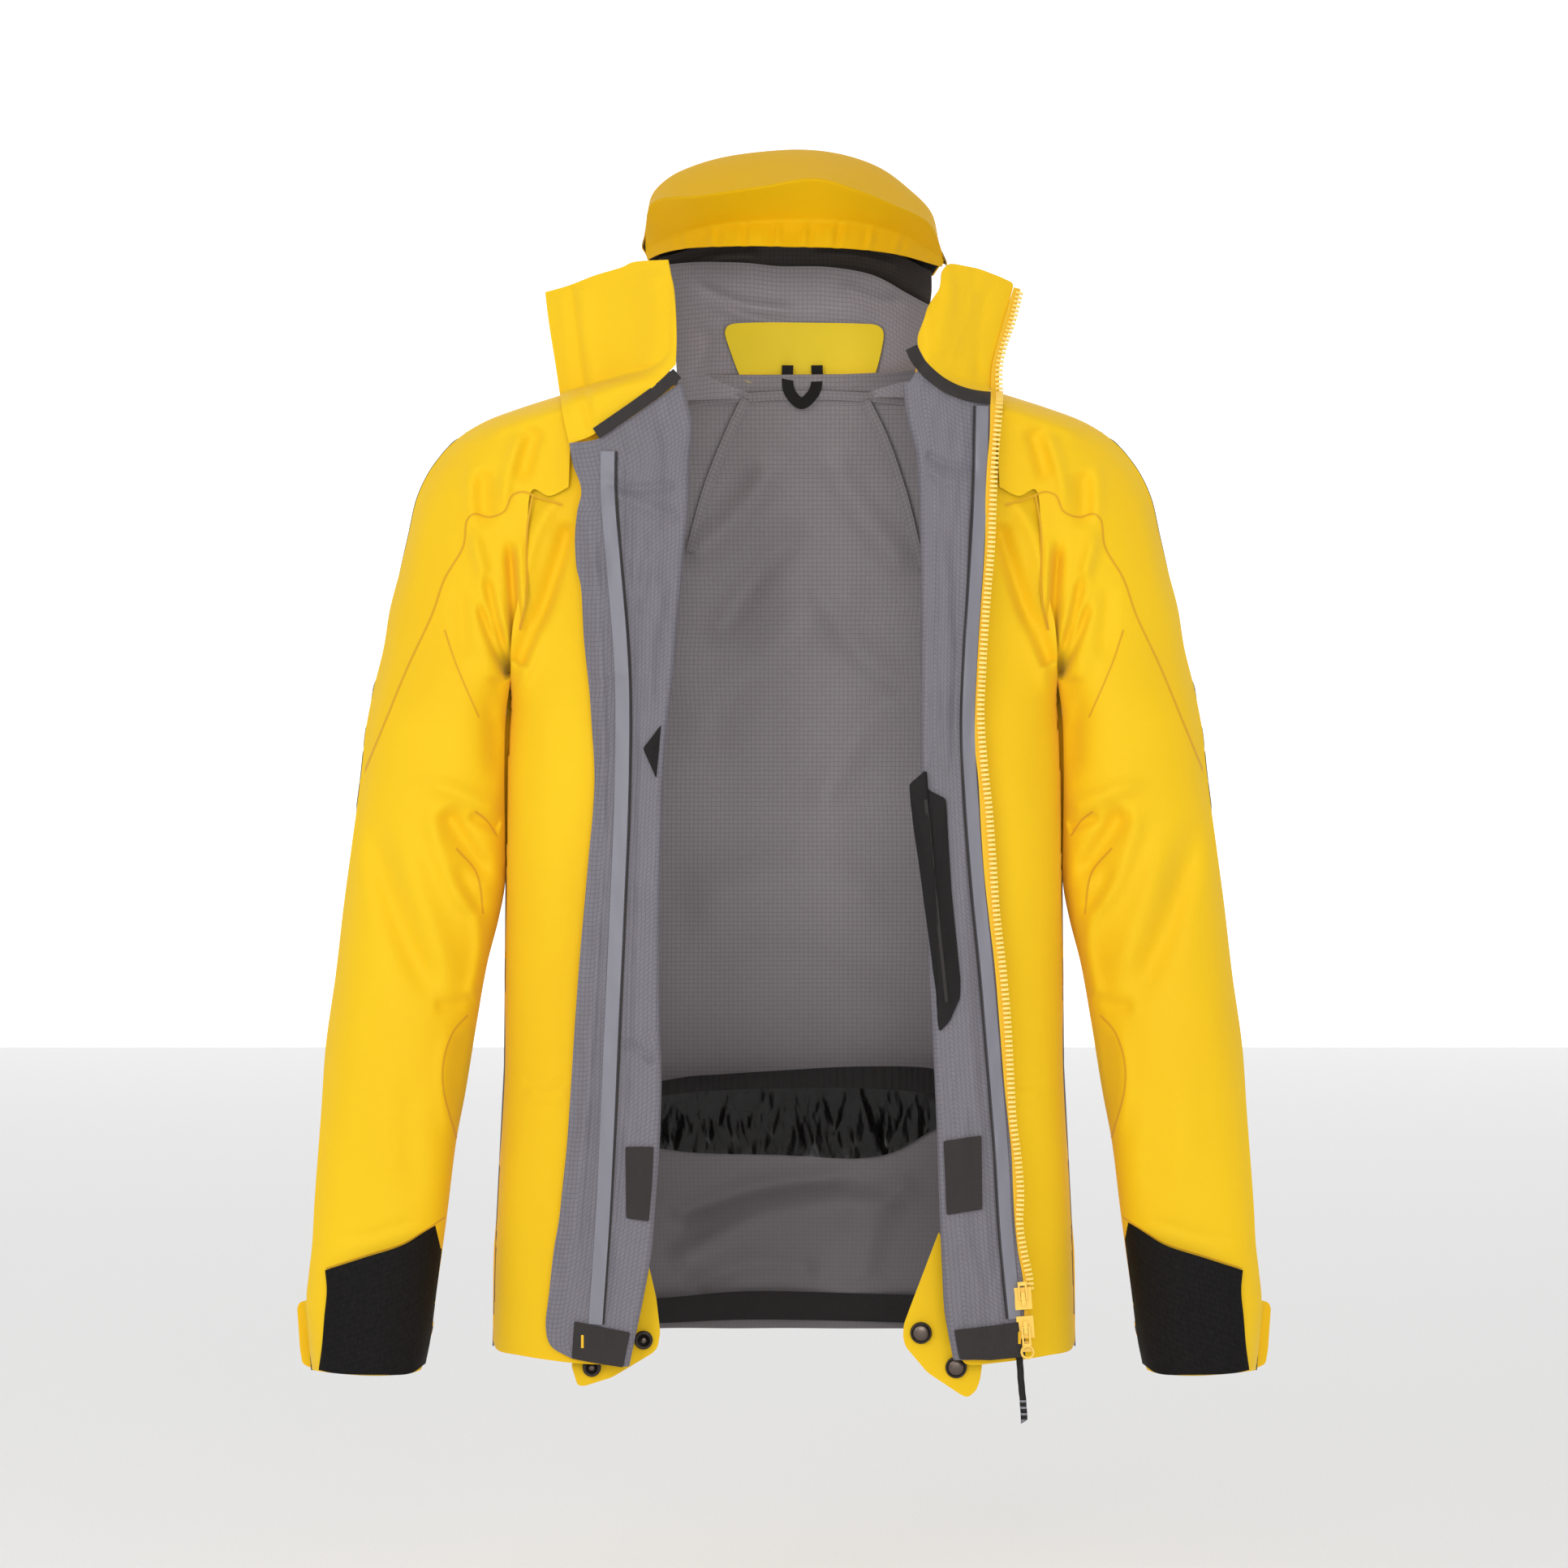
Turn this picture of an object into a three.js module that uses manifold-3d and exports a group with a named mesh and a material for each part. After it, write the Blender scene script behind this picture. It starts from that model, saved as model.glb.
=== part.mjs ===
// Hooded hardshell jacket hanging open, both front edges folded outward like lapels.
// Millimetres, +Z up, the wearer faces -Y. The origin is the middle of the neck opening's base.
import * as THREE from 'three';
import { mergeVertices } from 'three/addons/utils/BufferGeometryUtils.js';
import Module from 'manifold-3d';

// ---- driving dimensions ----
const T = 2.4;                 // thickness of the plain cloth solids
const HEM_Z = -748;            // hem of the body
const ARMPIT_Z = -226;
const RAGLAN_TOP = [112, -45]; // |x|, z where the armhole seam meets the shoulder
const SHOULDER = { x: 200, z: -115, r: 98.6, gap: 1.6 }; // centre of the arm's swing
const FOLD_L = { a: [-105.9, -112, -754], b: [-81.1, -82, 84] };  // straight fold line, left front
const FOLD_R = { a: [125.7, -112, -754], b: [109.3, -82, 84] };   // straight fold line, right front
const ELBOW_Z = -376;
const HOOD_PIVOT = [0, 112, 112];
const PITCH = 2.4;             // zip chain tooth pitch

const wasm = await Module(); wasm.setup();
const root = new THREE.Group();
const V = (x, y, z) => new THREE.Vector3(x, y, z);

// ---- colours ----
const COL = { yellow: 0xf5cb2e, shade: 0xe0ac14, grey: 0x77737a, trim: 0x3c3837, black: 0x1d1a19, gloss: 0x141313, bronze: 0x58504a, zip: 0xf0b428 };
const mat = (c, r = 0.7, m = 0) => new THREE.MeshStandardMaterial({ color: c, roughness: r, metalness: m });
function add(name, geo, material, parent = root) {
  const m = new THREE.Mesh(geo, material); m.name = name; parent.add(m); return m;
}
const lerpT = (tab, z) => {            // tab: [[z,v]...] sorted by z descending
  if (z >= tab[0][0]) return tab[0][1];
  for (let i = 1; i < tab.length; i++) if (z >= tab[i][0]) {
    const [z0, v0] = tab[i - 1], [z1, v1] = tab[i];
    return v0 + (v1 - v0) * (z0 - z) / (z0 - z1);
  }
  return tab[tab.length - 1][1];
};
// closed solid from a grid of points; rows[i][j], thickened to both sides of the surface
function sheet(rows, t = T) {
  const R = rows.length, C = rows[0].length, pos = [], idx = [];
  const n = (i, j) => {
    const a = rows[Math.min(i + 1, R - 1)][j].clone().sub(rows[Math.max(i - 1, 0)][j]);
    const b = rows[i][Math.min(j + 1, C - 1)].clone().sub(rows[i][Math.max(j - 1, 0)]);
    return a.cross(b).normalize();
  };
  for (const s of [0.5, -0.5]) for (let i = 0; i < R; i++) for (let j = 0; j < C; j++) {
    const p = rows[i][j].clone().addScaledVector(n(i, j), s * t); pos.push(p.x, p.y, p.z);
  }
  const A = (i, j) => i * C + j, B = (i, j) => R * C + i * C + j;
  for (let i = 0; i < R - 1; i++) for (let j = 0; j < C - 1; j++) {
    idx.push(A(i, j), A(i + 1, j), A(i + 1, j + 1), A(i, j), A(i + 1, j + 1), A(i, j + 1));
    idx.push(B(i, j), B(i + 1, j + 1), B(i + 1, j), B(i, j), B(i, j + 1), B(i + 1, j + 1));
  }
  const strip = (a, b, c, d) => idx.push(a, b, c, a, c, d);
  for (let j = 0; j < C - 1; j++) { strip(A(0, j), A(0, j + 1), B(0, j + 1), B(0, j)); strip(A(R - 1, j + 1), A(R - 1, j), B(R - 1, j), B(R - 1, j + 1)); }
  for (let i = 0; i < R - 1; i++) { strip(A(i + 1, 0), A(i, 0), B(i, 0), B(i + 1, 0)); strip(A(i, C - 1), A(i + 1, C - 1), B(i + 1, C - 1), B(i, C - 1)); }
  return outward(pos, idx);
}
// open-ended tube wall from rings of points (outer), thickness inward
function tube(rings, t = T) {
  const R = rings.length, C = rings[0].length, pos = [], idx = [];
  const inner = rings.map(r => {
    const c = r.reduce((s, p) => s.add(p), V(0, 0, 0)).multiplyScalar(1 / C);
    return r.map((p, j) => {
      const e = r[(j + 1) % C].clone().sub(r[(j + C - 1) % C]);
      const d = p.clone().sub(c); const nn = e.clone().cross(d).cross(e).normalize();
      if (nn.dot(d) < 0) nn.negate(); return p.clone().addScaledVector(nn, -t);
    });
  });
  for (const S of [rings, inner]) for (const r of S) for (const p of r) pos.push(p.x, p.y, p.z);
  const A = (i, j) => i * C + (j % C), B = (i, j) => R * C + i * C + (j % C);
  const quad = (a, b, c, d) => idx.push(a, b, c, a, c, d);
  for (let i = 0; i < R - 1; i++) for (let j = 0; j < C; j++) {
    quad(A(i, j), A(i + 1, j), A(i + 1, j + 1), A(i, j + 1));
    quad(B(i, j), B(i, j + 1), B(i + 1, j + 1), B(i + 1, j));
  }
  for (let j = 0; j < C; j++) { quad(A(0, j), A(0, j + 1), B(0, j + 1), B(0, j)); quad(A(R - 1, j + 1), A(R - 1, j), B(R - 1, j), B(R - 1, j + 1)); }
  return outward(pos, idx);
}
function outward(pos, idx) {
  let vol = 0; const P = k => V(pos[3 * k], pos[3 * k + 1], pos[3 * k + 2]);
  for (let k = 0; k < idx.length; k += 3) vol += P(idx[k]).dot(P(idx[k + 1]).cross(P(idx[k + 2])));
  if (vol < 0) for (let k = 0; k < idx.length; k += 3) [idx[k + 1], idx[k + 2]] = [idx[k + 2], idx[k + 1]];
  const g = new THREE.BufferGeometry();
  g.setAttribute('position', new THREE.Float32BufferAttribute(pos, 3)); g.setIndex(idx); g.computeVertexNormals();
  return g;
}
const solid = g => {
  g = g.clone(); g.deleteAttribute('normal'); g.deleteAttribute('uv'); g = mergeVertices(g, 1e-4);
  return new wasm.Manifold(new wasm.Mesh({ numProp: 3, vertProperties: new Float32Array(g.attributes.position.array), triVerts: new Uint32Array(g.index.array) }));
};
const geo = s => {
  const m = s.getMesh(), g = new THREE.BufferGeometry();
  g.setAttribute('position', new THREE.BufferAttribute(new Float32Array(m.vertProperties), 3));
  g.setIndex(new THREE.BufferAttribute(new Uint32Array(m.triVerts), 1)); g.computeVertexNormals(); return g;
};
const lin = (n, f) => Array.from({ length: n }, (_, i) => f(n === 1 ? 0 : i / (n - 1)));
const mix = (a, b, t) => a + (b - a) * t;
const onLine = (L, z) => { const t = (z - L.a[2]) / (L.b[2] - L.a[2]); return L.a.map((v, i) => v + (L.b[i] - v) * t); };

// ---- body surface ----
// half-width, front depth, back depth and squareness of the horizontal section at each height
const W = z => lerpT([[24, 100], [16, 118], [6, 148], [-2, 166], [-12, 180], [-30, 190], [-60, 197], [-115, 203], [-150, 207], [-226, 214], [-300, 218], [-400, 219], [-530, 220], [-650, 226], [-750, 229]], z);
const DB = z => lerpT([[24, 84], [0, 96], [-60, 112], [-150, 122], [-300, 124], [-450, 116], [-600, 118], [-750, 122]], z);
const NS = z => lerpT([[24, 2.2], [-60, 2.8]], z), NF = z => lerpT([[24, 2.2], [-60, 2.8], [-200, 3.4]], z);
const shape = (u, n) => Math.pow(Math.max(0, 1 - Math.pow(Math.min(1, Math.abs(u)), n)), 1 / n);
const DFside = (L, z) => { const p = onLine(L, z); return (-p[1] - 4.2) / shape(p[0] / W(z), NF(z)); };
const frontY = (x, z) => -DFside(x < 0 ? FOLD_L : FOLD_R, z) * shape(x / W(z), NF(z));
const backY = (x, z) => DB(z) * shape(x / W(z), NS(z));
// armhole seam height at a given |x|
const raglan = x => { const a = Math.abs(x); return a >= 214 ? -213 : RAGLAN_TOP[1] + (-213 - RAGLAN_TOP[1]) * Math.max(0, (a - RAGLAN_TOP[0])) / (214 - RAGLAN_TOP[0]); };

// a strip of the body wall: x runs from xa(z) to xb(z) through equal angle steps, z from z0 to z1
function wall(xa, xb, z0, z1, side, nx, nz, ztop = null) {
  return lin(nz, t => lin(nx, s => {
    const zz0 = z0, zz1 = z1; let z = mix(zz0, zz1, t);
    const wa = Math.asin(Math.max(-1, Math.min(1, xa(z) / W(z)))), wb = Math.asin(Math.max(-1, Math.min(1, xb(z) / W(z))));
    const ang = mix(wa, wb, s); let x = W(z) * Math.sin(ang);
    if (ztop) { const zt = Math.min(z1, ztop(x)); z = mix(zz0, zt, t); const a2 = mix(Math.asin(xa(z) / W(z)), Math.asin(xb(z) / W(z)), s); x = W(z) * Math.sin(a2); }
    return V(x, side > 0 ? backY(x, z) : frontY(x, z), z);
  }));
}
const SIDE = 0.9955; // sine of the side seam's angle, leaves the gap between the front and the back
const G = 0.6;

// back panel: hem to raglan line, full width
add('back_panel', sheet(wall(z => -W(z) * SIDE, z => W(z) * SIDE, HEM_Z, -222, 1, 19, 8)), mat(COL.yellow));
// upper back: between the armhole seams up to the neck
add('upper_back', sheet(lin(8, t => lin(13, s => { const z = mix(-219, 21, t); const w = Math.min(W(z) * SIDE, z > -213 ? RAGLAN_TOP[0] - 2 + (z - RAGLAN_TOP[1]) * (-(214 - RAGLAN_TOP[0]) / 168) : 213); const ww = Math.min(Math.max(RAGLAN_TOP[0] - 2, Math.min(w, W(z) * SIDE)), W(z) * 0.97); const x = mix(-ww, ww, s); return V(x, backY(x, z), z); }))), mat(COL.yellow));
// the two fronts, from the side seam to the fold
for (const [nm, sg, L] of [['front_panel_right', -1, FOLD_L], ['front_panel_left', 1, FOLD_R]]) {
  add(nm, sheet(lin(9, t => lin(8, s => { const z = mix(HEM_Z, -222, t); const xo = sg * W(z) * SIDE, xi = onLine(L, z)[0];
    const a = mix(Math.asin(xo / W(z)), Math.asin(xi / W(z)), s), x = W(z) * Math.sin(a); return V(x, frontY(x, z), z); }))), mat(COL.yellow));
  add(nm.replace('front_panel', 'chest_panel'), sheet(lin(8, t => lin(6, s => { const z = mix(-219, 0, t); const xi = onLine(L, z)[0];
    let xo = Math.min(W(z) * SIDE, RAGLAN_TOP[0] + 2 + (RAGLAN_TOP[1] - z) / 168 * (210 - RAGLAN_TOP[0])); if (z > -53) xo = RAGLAN_TOP[0] + 0.5; xo = Math.max(xo, Math.abs(xi) + 4);
    const x = mix(sg * xo, xi, s); return V(x, frontY(x, z), z); }))), mat(COL.yellow));
  // shoulder yoke: over the ridge from the front armhole seam to the back one
  add(nm.replace('front_panel', 'shoulder_yoke'), sheet(lin(6, t => lin(11, s => { // s: front -> ridge -> back
    const ax = mix(sg > 0 ? 126 : 123, 196, t), x = sg * ax; const zt = ridge(ax); const zf = Math.min(raglan(x) + 6, zt - 4);
    const u = Math.abs(s * 2 - 1), z = zt - (zt - zf) * Math.pow(u, 1.7);
    const yf = frontY(sg * Math.min(ax, W(zf) * 0.985), zf), yb = backY(sg * Math.min(ax, W(zf) * 0.985), zf);
    const yFr = Math.min(yf, -54), yBa = Math.max(yb, 58); const mid = 2;
    const y = s < 0.5 ? mix(mid, yFr, Math.pow(u, 0.8)) : mix(mid, yBa, Math.pow(u, 0.8)); return V(x, y, z); }))), mat(COL.yellow));
}
function ridge(ax) { return lerpT([[-112, 14], [-140, 8], [-176, -1], [-208, -12]], -ax); }
// sleeve heads: rounded cap about the centre of the arm's swing
// each in an upper and a lower half, met at the middle of the bend
for (const [sd, sg] of [['right', -1], ['left', 1]]) for (const [nm, a0, a1] of [['sleeve_head_', 84, 166.8], ['sleeve_head_lower_', 167.2, 250]]) {
  add(nm + sd, sheet(lin(7, t => { const a = mix(a0, a1, t) * Math.PI / 180; return lin(9, s => {
    const b = s * 2 - 1, r = (SHOULDER.r - T / 2) * Math.pow(1 - Math.pow(Math.abs(b) * 0.98, 4), 0.25), y = 62 * b;
    const x = -SHOULDER.x + r * Math.cos(a), z = SHOULDER.z + r * Math.sin(a);
    return V(-sg * Math.min(x, -SHOULDER.x - 1.5), y, z); }); })), mat(COL.yellow));
}

// ---- sleeves ----
const SL_OUT = [[-60, -281], [-111, -296], [-140, -303], [-170, -310], [-201, -316], [-232, -323], [-266, -330], [-322, -336], [-403, -347], [-458, -353.6], [-513, -361], [-568, -365], [-637, -370], [-714, -374], [-770, -367]];
const SL_IN = [[-60, -218], [-226, -219], [-300, -222], [-386, -223], [-414, -227], [-449, -233], [-495, -242], [-550, -251], [-587, -257.5], [-649, -265], [-704, -273], [-753, -280], [-769, -285]];
const SL_D = [[-60, 62], [-140, 66], [-226, 66], [-400, 60], [-550, 52], [-690, 46], [-770, 43]];
const SL_Y = [[-60, 0], [-226, 0], [-400, -6], [-600, -20], [-770, -28]];
const ring = (sg, z, n = 18, tilt = 0, a0 = 0, a1 = 2 * Math.PI, grow = 0) => lin(a1 - a0 > 6.2 ? n + 1 : n, t => {
  const a = mix(a0, a1, t), o = lerpT(SL_OUT, z), i = lerpT(SL_IN, z), c = (o + i) / 2, r = (i - o) / 2 + grow, d = lerpT(SL_D, z) + grow;
  const cs = Math.cos(a), sn = Math.sin(a), e = 2 / 2.2;
  return V(-sg * (c + r * Math.sign(cs) * Math.pow(Math.abs(cs), e)), lerpT(SL_Y, z) + d * Math.sign(sn) * Math.pow(Math.abs(sn), e), z - tilt * sn);
}).slice(0, a1 - a0 > 6.2 ? n : undefined);
function cyl(r, h, n, p, axis) { const g = new THREE.CylinderGeometry(r, r, h, n); if (axis === 'x') g.rotateZ(Math.PI / 2); if (axis === 'z') g.rotateX(Math.PI / 2); g.translate(...p); return g; }
for (const [sd, sg] of [['right', -1], ['left', 1]]) {
  const rings = lin(9, t => ring(sg, mix(-70, ELBOW_Z + 1, t)));
  const up = solid(tube(rings)).subtract(solid(cyl(SHOULDER.r + SHOULDER.gap, 260, 40, [sg * SHOULDER.x, 0, SHOULDER.z], 'y')));
  const big = up.decompose().sort((a, b) => b.volume() - a.volume())[0];
  add('upper_sleeve_' + sd, geo(big), mat(COL.yellow));
  add('forearm_sleeve_' + sd, tube(lin(7, t => ring(sg, mix(ELBOW_Z - 1, -642, t)))), mat(COL.yellow));
  // cuff: black stretch panel in front, shell cloth behind
  add('cuff_panel_' + sd, sheet(lin(4, t => lin(9, s => { const a = mix(Math.PI * 1.03, Math.PI * 1.97, s), z = mix(-644.5, -768, t); return ring(sg, z, 2, 0, a, a + 0.01, -T / 2)[0]; }))), mat(COL.black, 0.9));
  add('cuff_back_' + sd, sheet(lin(4, t => lin(9, s => { const a = mix(Math.PI * 0.0, Math.PI * 1.0, s), z = mix(-644.5, -768, t); return ring(sg, z, 2, 0, a, a + 0.01, -T / 2)[0]; }))), mat(COL.yellow));
  // hook-and-loop tab wrapped round the outer edge of the cuff
  add('cuff_tab_' + sd, sheet(lin(4, t => lin(9, s => { const a = mix(Math.PI * 0.62, Math.PI * 1.06, s), z = mix(-718, -764, t); return ring(sg, z, 2, 0, a, a + 0.01, 5)[0]; })), 2.2), mat(COL.yellow));
}

// ---- collar at the back of the neck, and its lining pieces ----
const COLLAR = new THREE.CatmullRomCurve3([[-88, -68], [-102, -32], [-107, 8], [-92, 56], [-48, 86], [8, 94], [62, 86], [105, 56], [121, 8], [119, -32], [114, -68]].map(p => V(p[0], p[1], 0)));
const collarPt = (a, z, off = 0) => { // a: -1 (right front) .. 0 (nape) .. 1 (left front)
  const u = (a + 1) / 2, p = COLLAR.getPoint(u), tg = COLLAR.getTangent(u); return V(p.x - tg.y * off, p.y + tg.x * off, z); };
const collarTop = a => 104 - 12 * Math.max(0, a);
add('back_collar', sheet(lin(4, t => lin(19, s => { const a = mix(-1, 1, s); return collarPt(a, mix(26.5, collarTop(a), t)); }))), mat(COL.grey, 0.8));
add('neck_patch', sheet(lin(2, t => lin(7, s => { const w = mix(0.2, 0.255, t), a = mix(-w, w, s) + 0.02; return collarPt(a, mix(30, 64, t), -3.2); })), 1), mat(COL.yellow, 0.8));
// hanger loop: a flat webbing U under the neck seam
{
  const path = new THREE.CatmullRomCurve3([V(1, 80, 22), V(1, 79, 8), V(4, 78.6, -1), V(15, 78.4, -4.5), V(26, 78.6, -1), V(29, 79, 8), V(29, 80, 22)]);
  const s = new THREE.Shape([new THREE.Vector2(-4, -0.6), new THREE.Vector2(4, -0.6), new THREE.Vector2(4, 0.6), new THREE.Vector2(-4, 0.6)]);
  const rows = lin(13, t => { const p = path.getPoint(t), tg = path.getTangent(t), side = V(0, 1, 0).cross(tg).normalize(); return [p.clone().addScaledVector(side, -4), p.clone().addScaledVector(side, 4)]; });
  add('hanger_loop', sheet(rows, 1.2), mat(COL.black, 0.9));
}

// ---- hood: tips back about the nape ----
const HZ = 110;           // height of the hood's lower rim at the sides
function hoodPt(u, v, off = 0) { // u: -1..1 side to side over the top, v: 0 front edge .. 1 nape
  const th = u * Math.PI / 2, w = 119 + off, h = 70 + off, c = Math.cos(th), s = Math.sin(th);
  const y0 = mix(-62, -38, Math.abs(u) ** 2), y1 = 142;
  const y = mix(y0, y1, v), f = Math.sqrt(Math.max(0, 1 - Math.pow(Math.max(0, (v - 0.25) / 0.75), 2.4)));
  return V(8 + w * Math.sign(s) * Math.pow(Math.abs(s), 0.85) * (0.25 + 0.75 * Math.pow(f, 0.8)), y, HZ + 4 + (h + 3) * Math.pow(c, 0.8) * Math.max(f, 0.02));
}
add('hood_shell', sheet(lin(9, t => lin(15, s => hoodPt(mix(-1, 1, s), mix(0.13, 0.985, t))))), mat(COL.yellow));
add('hood_brim', sheet(lin(3, t => lin(13, s => hoodPt(mix(-0.86, 0.86, s), mix(-0.05, 0.115, t)))), 2.6), mat(COL.yellow));
add('hood_face_edge', sheet(lin(2, t => lin(11, s => { const p = hoodPt(mix(-0.8, 0.8, s), 0.02, -8); return V(p.x, p.y + 3 + 20 * t, p.z - 34 * (1 - Math.abs(mix(-1, 1, s)) ** 2) - 4 * t - 1); })), 2), mat(COL.shade));

// ---- folded-back front edges ----
// a strip standing in front of the chest: s runs from the fold outward by width w(z)
const RIDE = 4.6; // distance of the folded layer in front of the fold line
function lapelPt(L, sg, z, d, off = 0) {
  const p = onLine(L, z), x = p[0] + sg * d;
  const zc = Math.min(z, -20), fy = frontY(Math.sign(x) * Math.min(Math.abs(x), W(zc) * 0.9), zc), base = mix(-70, fy, Math.max(0, Math.min(1, (-20 - z) / 100))), y0 = p[1] - RIDE;
  const y = Math.min(mix(y0, base - 9, Math.min(1, d / 40)), y0 + d * 0.62);
  return V(x, Math.min(y, z > -120 ? -74 : 0) - off, z);
}
const WR = z => -sgnW(LW, z), LW = [[-20, 66], [-47, 80], [-62, 76], [-82, 69], [-98, 72], [-155, 66], [-197, 60], [-284, 48], [-330, 46], [-405, 50], [-491, 56], [-585, 62], [-665, 72], [-735, 74]];
const sgnW = (t, z) => lerpT(t, z);
const RW = [[-20, 40], [-64, 41], [-125, 36], [-212, 30], [-282, 26], [-339, 28], [-410, 32], [-491, 38], [-567, 42], [-639, 46], [-700, 50], [-735, 52]];
const BW = { right: [FOLD_L, -1, LW], left: [FOLD_R, 1, RW] };
for (const sd of ['right', 'left']) {
  const [L, sg, tab] = BW[sd];
  add('front_edge_' + sd, sheet(lin(14, t => lin(5, s => { const z = mix(-736, -48, t); return lapelPt(L, sg, z, mix(1.2, lerpT(tab, z), s)); }))), mat(COL.grey, 0.8));
  // collar flap: continues the folded front above the chest
  const cw = sd === 'right' ? [[90, 34], [70, 98], [0, 90], [-26, 84], [-46, 82]] : [[90, 62], [76, 62], [46, 58], [12, 52], [-6, 46], [-46, 44]];
  add('collar_flap_' + sd, sheet(lin(5, t => lin(6, s => { const z0 = mix(-46, 92, t), d = mix(1.2, lerpT(cw, z0), s); const top = sd === 'right' ? -Math.max(0, t) * d * 0.22 : -t * d * 0.18;
    return lapelPt(L, sg, z0 + top, d, 0); }))), mat(COL.yellow));
  const zb = sd === 'right' ? [14, -44] : [20, -12];
  add('flap_binding_' + sd, sheet(lin(6, t => { const d = mix(3, sd === 'right' ? 68 : 38, t), zc = mix(zb[0], zb[1], sd === 'right' ? t : Math.sqrt(t)); return [-6, 6].map(o => lapelPt(L, sg, zc + o, d, sd === 'left' ? 7 : 4.4)); }), 1.2), mat(COL.trim, 0.8));
  add('hem_patch_' + sd, sheet(lin(3, t => lin(5, s => { const z = mix(-734, -714, t); return lapelPt(L, sg, z, mix(6, 44, s), 3.2); })), 1.2), mat(COL.trim, 0.8));
  add('skirt_patch_' + sd, sheet(lin(4, t => lin(3, s => { const z = mix(-638, -582, t); return lapelPt(L, sg, z, mix(3, sd === 'right' ? 22 : 24, s), 3.2); })), 1.2), mat(COL.trim, 0.8));
  add('seam_tape_' + sd, sheet(lin(11, t => { const z = mix(-704, -62, t); return [-6, 6].map(o => { const w = lerpT(tab, z); return lapelPt(L, sg, z, (sd === 'right' ? w * 0.5 : w * 0.8) + o * (sd === 'right' ? 1 : 0.7), 2.9); }); }), 1), mat(0x8a8a94, 0.7));
}
// zip half on the left front's free edge: tape, chain, bottom box, two sliders
const zipD = z => lerpT(RW, z) + 8.4;
const ZA = lapelPt(FOLD_R, 1, -690, zipD(-690), 0), ZB = lapelPt(FOLD_R, 1, -400, zipD(-400), 0);
const zipPt = z => z < -330 ? ZA.clone().lerp(ZB, (z + 690) / 290) : lapelPt(FOLD_R, 1, z, zipD(z), 0);
const zipLine = z => { const k = Math.max(0, Math.min(1, (z + 400) / 70)); return ZA.clone().lerp(ZB, (z + 690) / 290).lerp(lapelPt(FOLD_R, 1, z, zipD(z), 0), k * k * (3 - 2 * k)); };
add('zip_chain_left', sheet(lin(16, t => { const z = mix(-716, -52, t), p = zipLine(z); return [V(p.x - 2.4, p.y - 2, p.z), V(p.x + 2.6, p.y - 2, p.z)]; }), 2.2), mat(COL.zip, 0.5));
add('zip_chain_collar_left', sheet(lin(6, t => { const z0 = mix(-46, 88, t), d = lerpT([[90, 62], [76, 62], [46, 58], [12, 52], [-6, 46], [-46, 44]], z0) + 3.4, p = lapelPt(FOLD_R, 1, z0 - t * d * 0.18, d, 2); return [V(p.x - 1.6, p.y, p.z), V(p.x + 3, p.y, p.z)]; }), 2), mat(COL.zip, 0.5));
// the other half lies along the right front's free edge, on the side turned to the chest
add('zip_chain_right', sheet(lin(14, t => { const z = mix(-700, -60, t), p = lapelPt(FOLD_L, -1, z, lerpT(LW, z) - 6, -4.6); return [V(p.x - 2.4, p.y, p.z), V(p.x + 2.4, p.y, p.z)]; }), 1.8), mat(COL.zip, 0.5));
const zdir = ZB.clone().sub(ZA).normalize();
// slider: a flat body with a slot that clears the chain, plus a bridge for its pull
function slider(len) {
  const b = new THREE.BoxGeometry(13, 7.4, len), slot = new THREE.BoxGeometry(6.8, 3.6, len + 4), bridge = new THREE.BoxGeometry(3, 3.4, len * 0.6); bridge.translate(0, -5, 0);
  const hole = cyl(1.3, 10, 12, [0, -5, 0], 'x');
  return geo(solid(b).subtract(solid(slot)).add(solid(bridge)).subtract(solid(hole)));
}
function along(mesh, p) { mesh.position.copy(p); mesh.quaternion.setFromUnitVectors(V(0, 0, 1), zdir); }
const lo = ZA.clone().addScaledVector(zdir, -34); lo.y -= 2; const hi = ZA.clone().addScaledVector(zdir, -12); hi.y -= 2;
const sLo = add('slider_lower', slider(17), mat(COL.zip, 0.4)); along(sLo, lo);
const sHi = add('slider_upper', slider(17), mat(COL.zip, 0.4)); along(sHi, hi);
// the lower slider's pull hangs from its bridge: a ring on a short shank
function pullGeo(hang) {
  const tor = new THREE.TorusGeometry(4.6, 1, 6, 14); tor.rotateX(Math.PI / 2); tor.rotateX(Math.PI / 2); tor.rotateX(Math.PI / 2); tor.translate(0, 0, -hang - 1);
  const pin = cyl(0.9, 6.6, 10, [0, 0, 0], 'x');
  const l = new THREE.BoxGeometry(1.4, 1.8, hang - 3.4); l.translate(-2.7, 0, -(hang - 3.4) / 2 + 0.8); const r = new THREE.BoxGeometry(1.4, 1.8, hang - 3.4); r.translate(2.7, 0, -(hang - 3.4) / 2 + 0.8);
  const bar = new THREE.BoxGeometry(6.8, 1.8, 1.8); bar.translate(0, 0, -(hang - 4.6));
  return geo(solid(pin).add(solid(l)).add(solid(r)).add(solid(bar)).add(solid(tor)));
}
const pinLo = V(0, -5, 0).applyQuaternion(sLo.quaternion).add(lo), pinHi = V(0, -5, 0).applyQuaternion(sHi.quaternion).add(hi);
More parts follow.
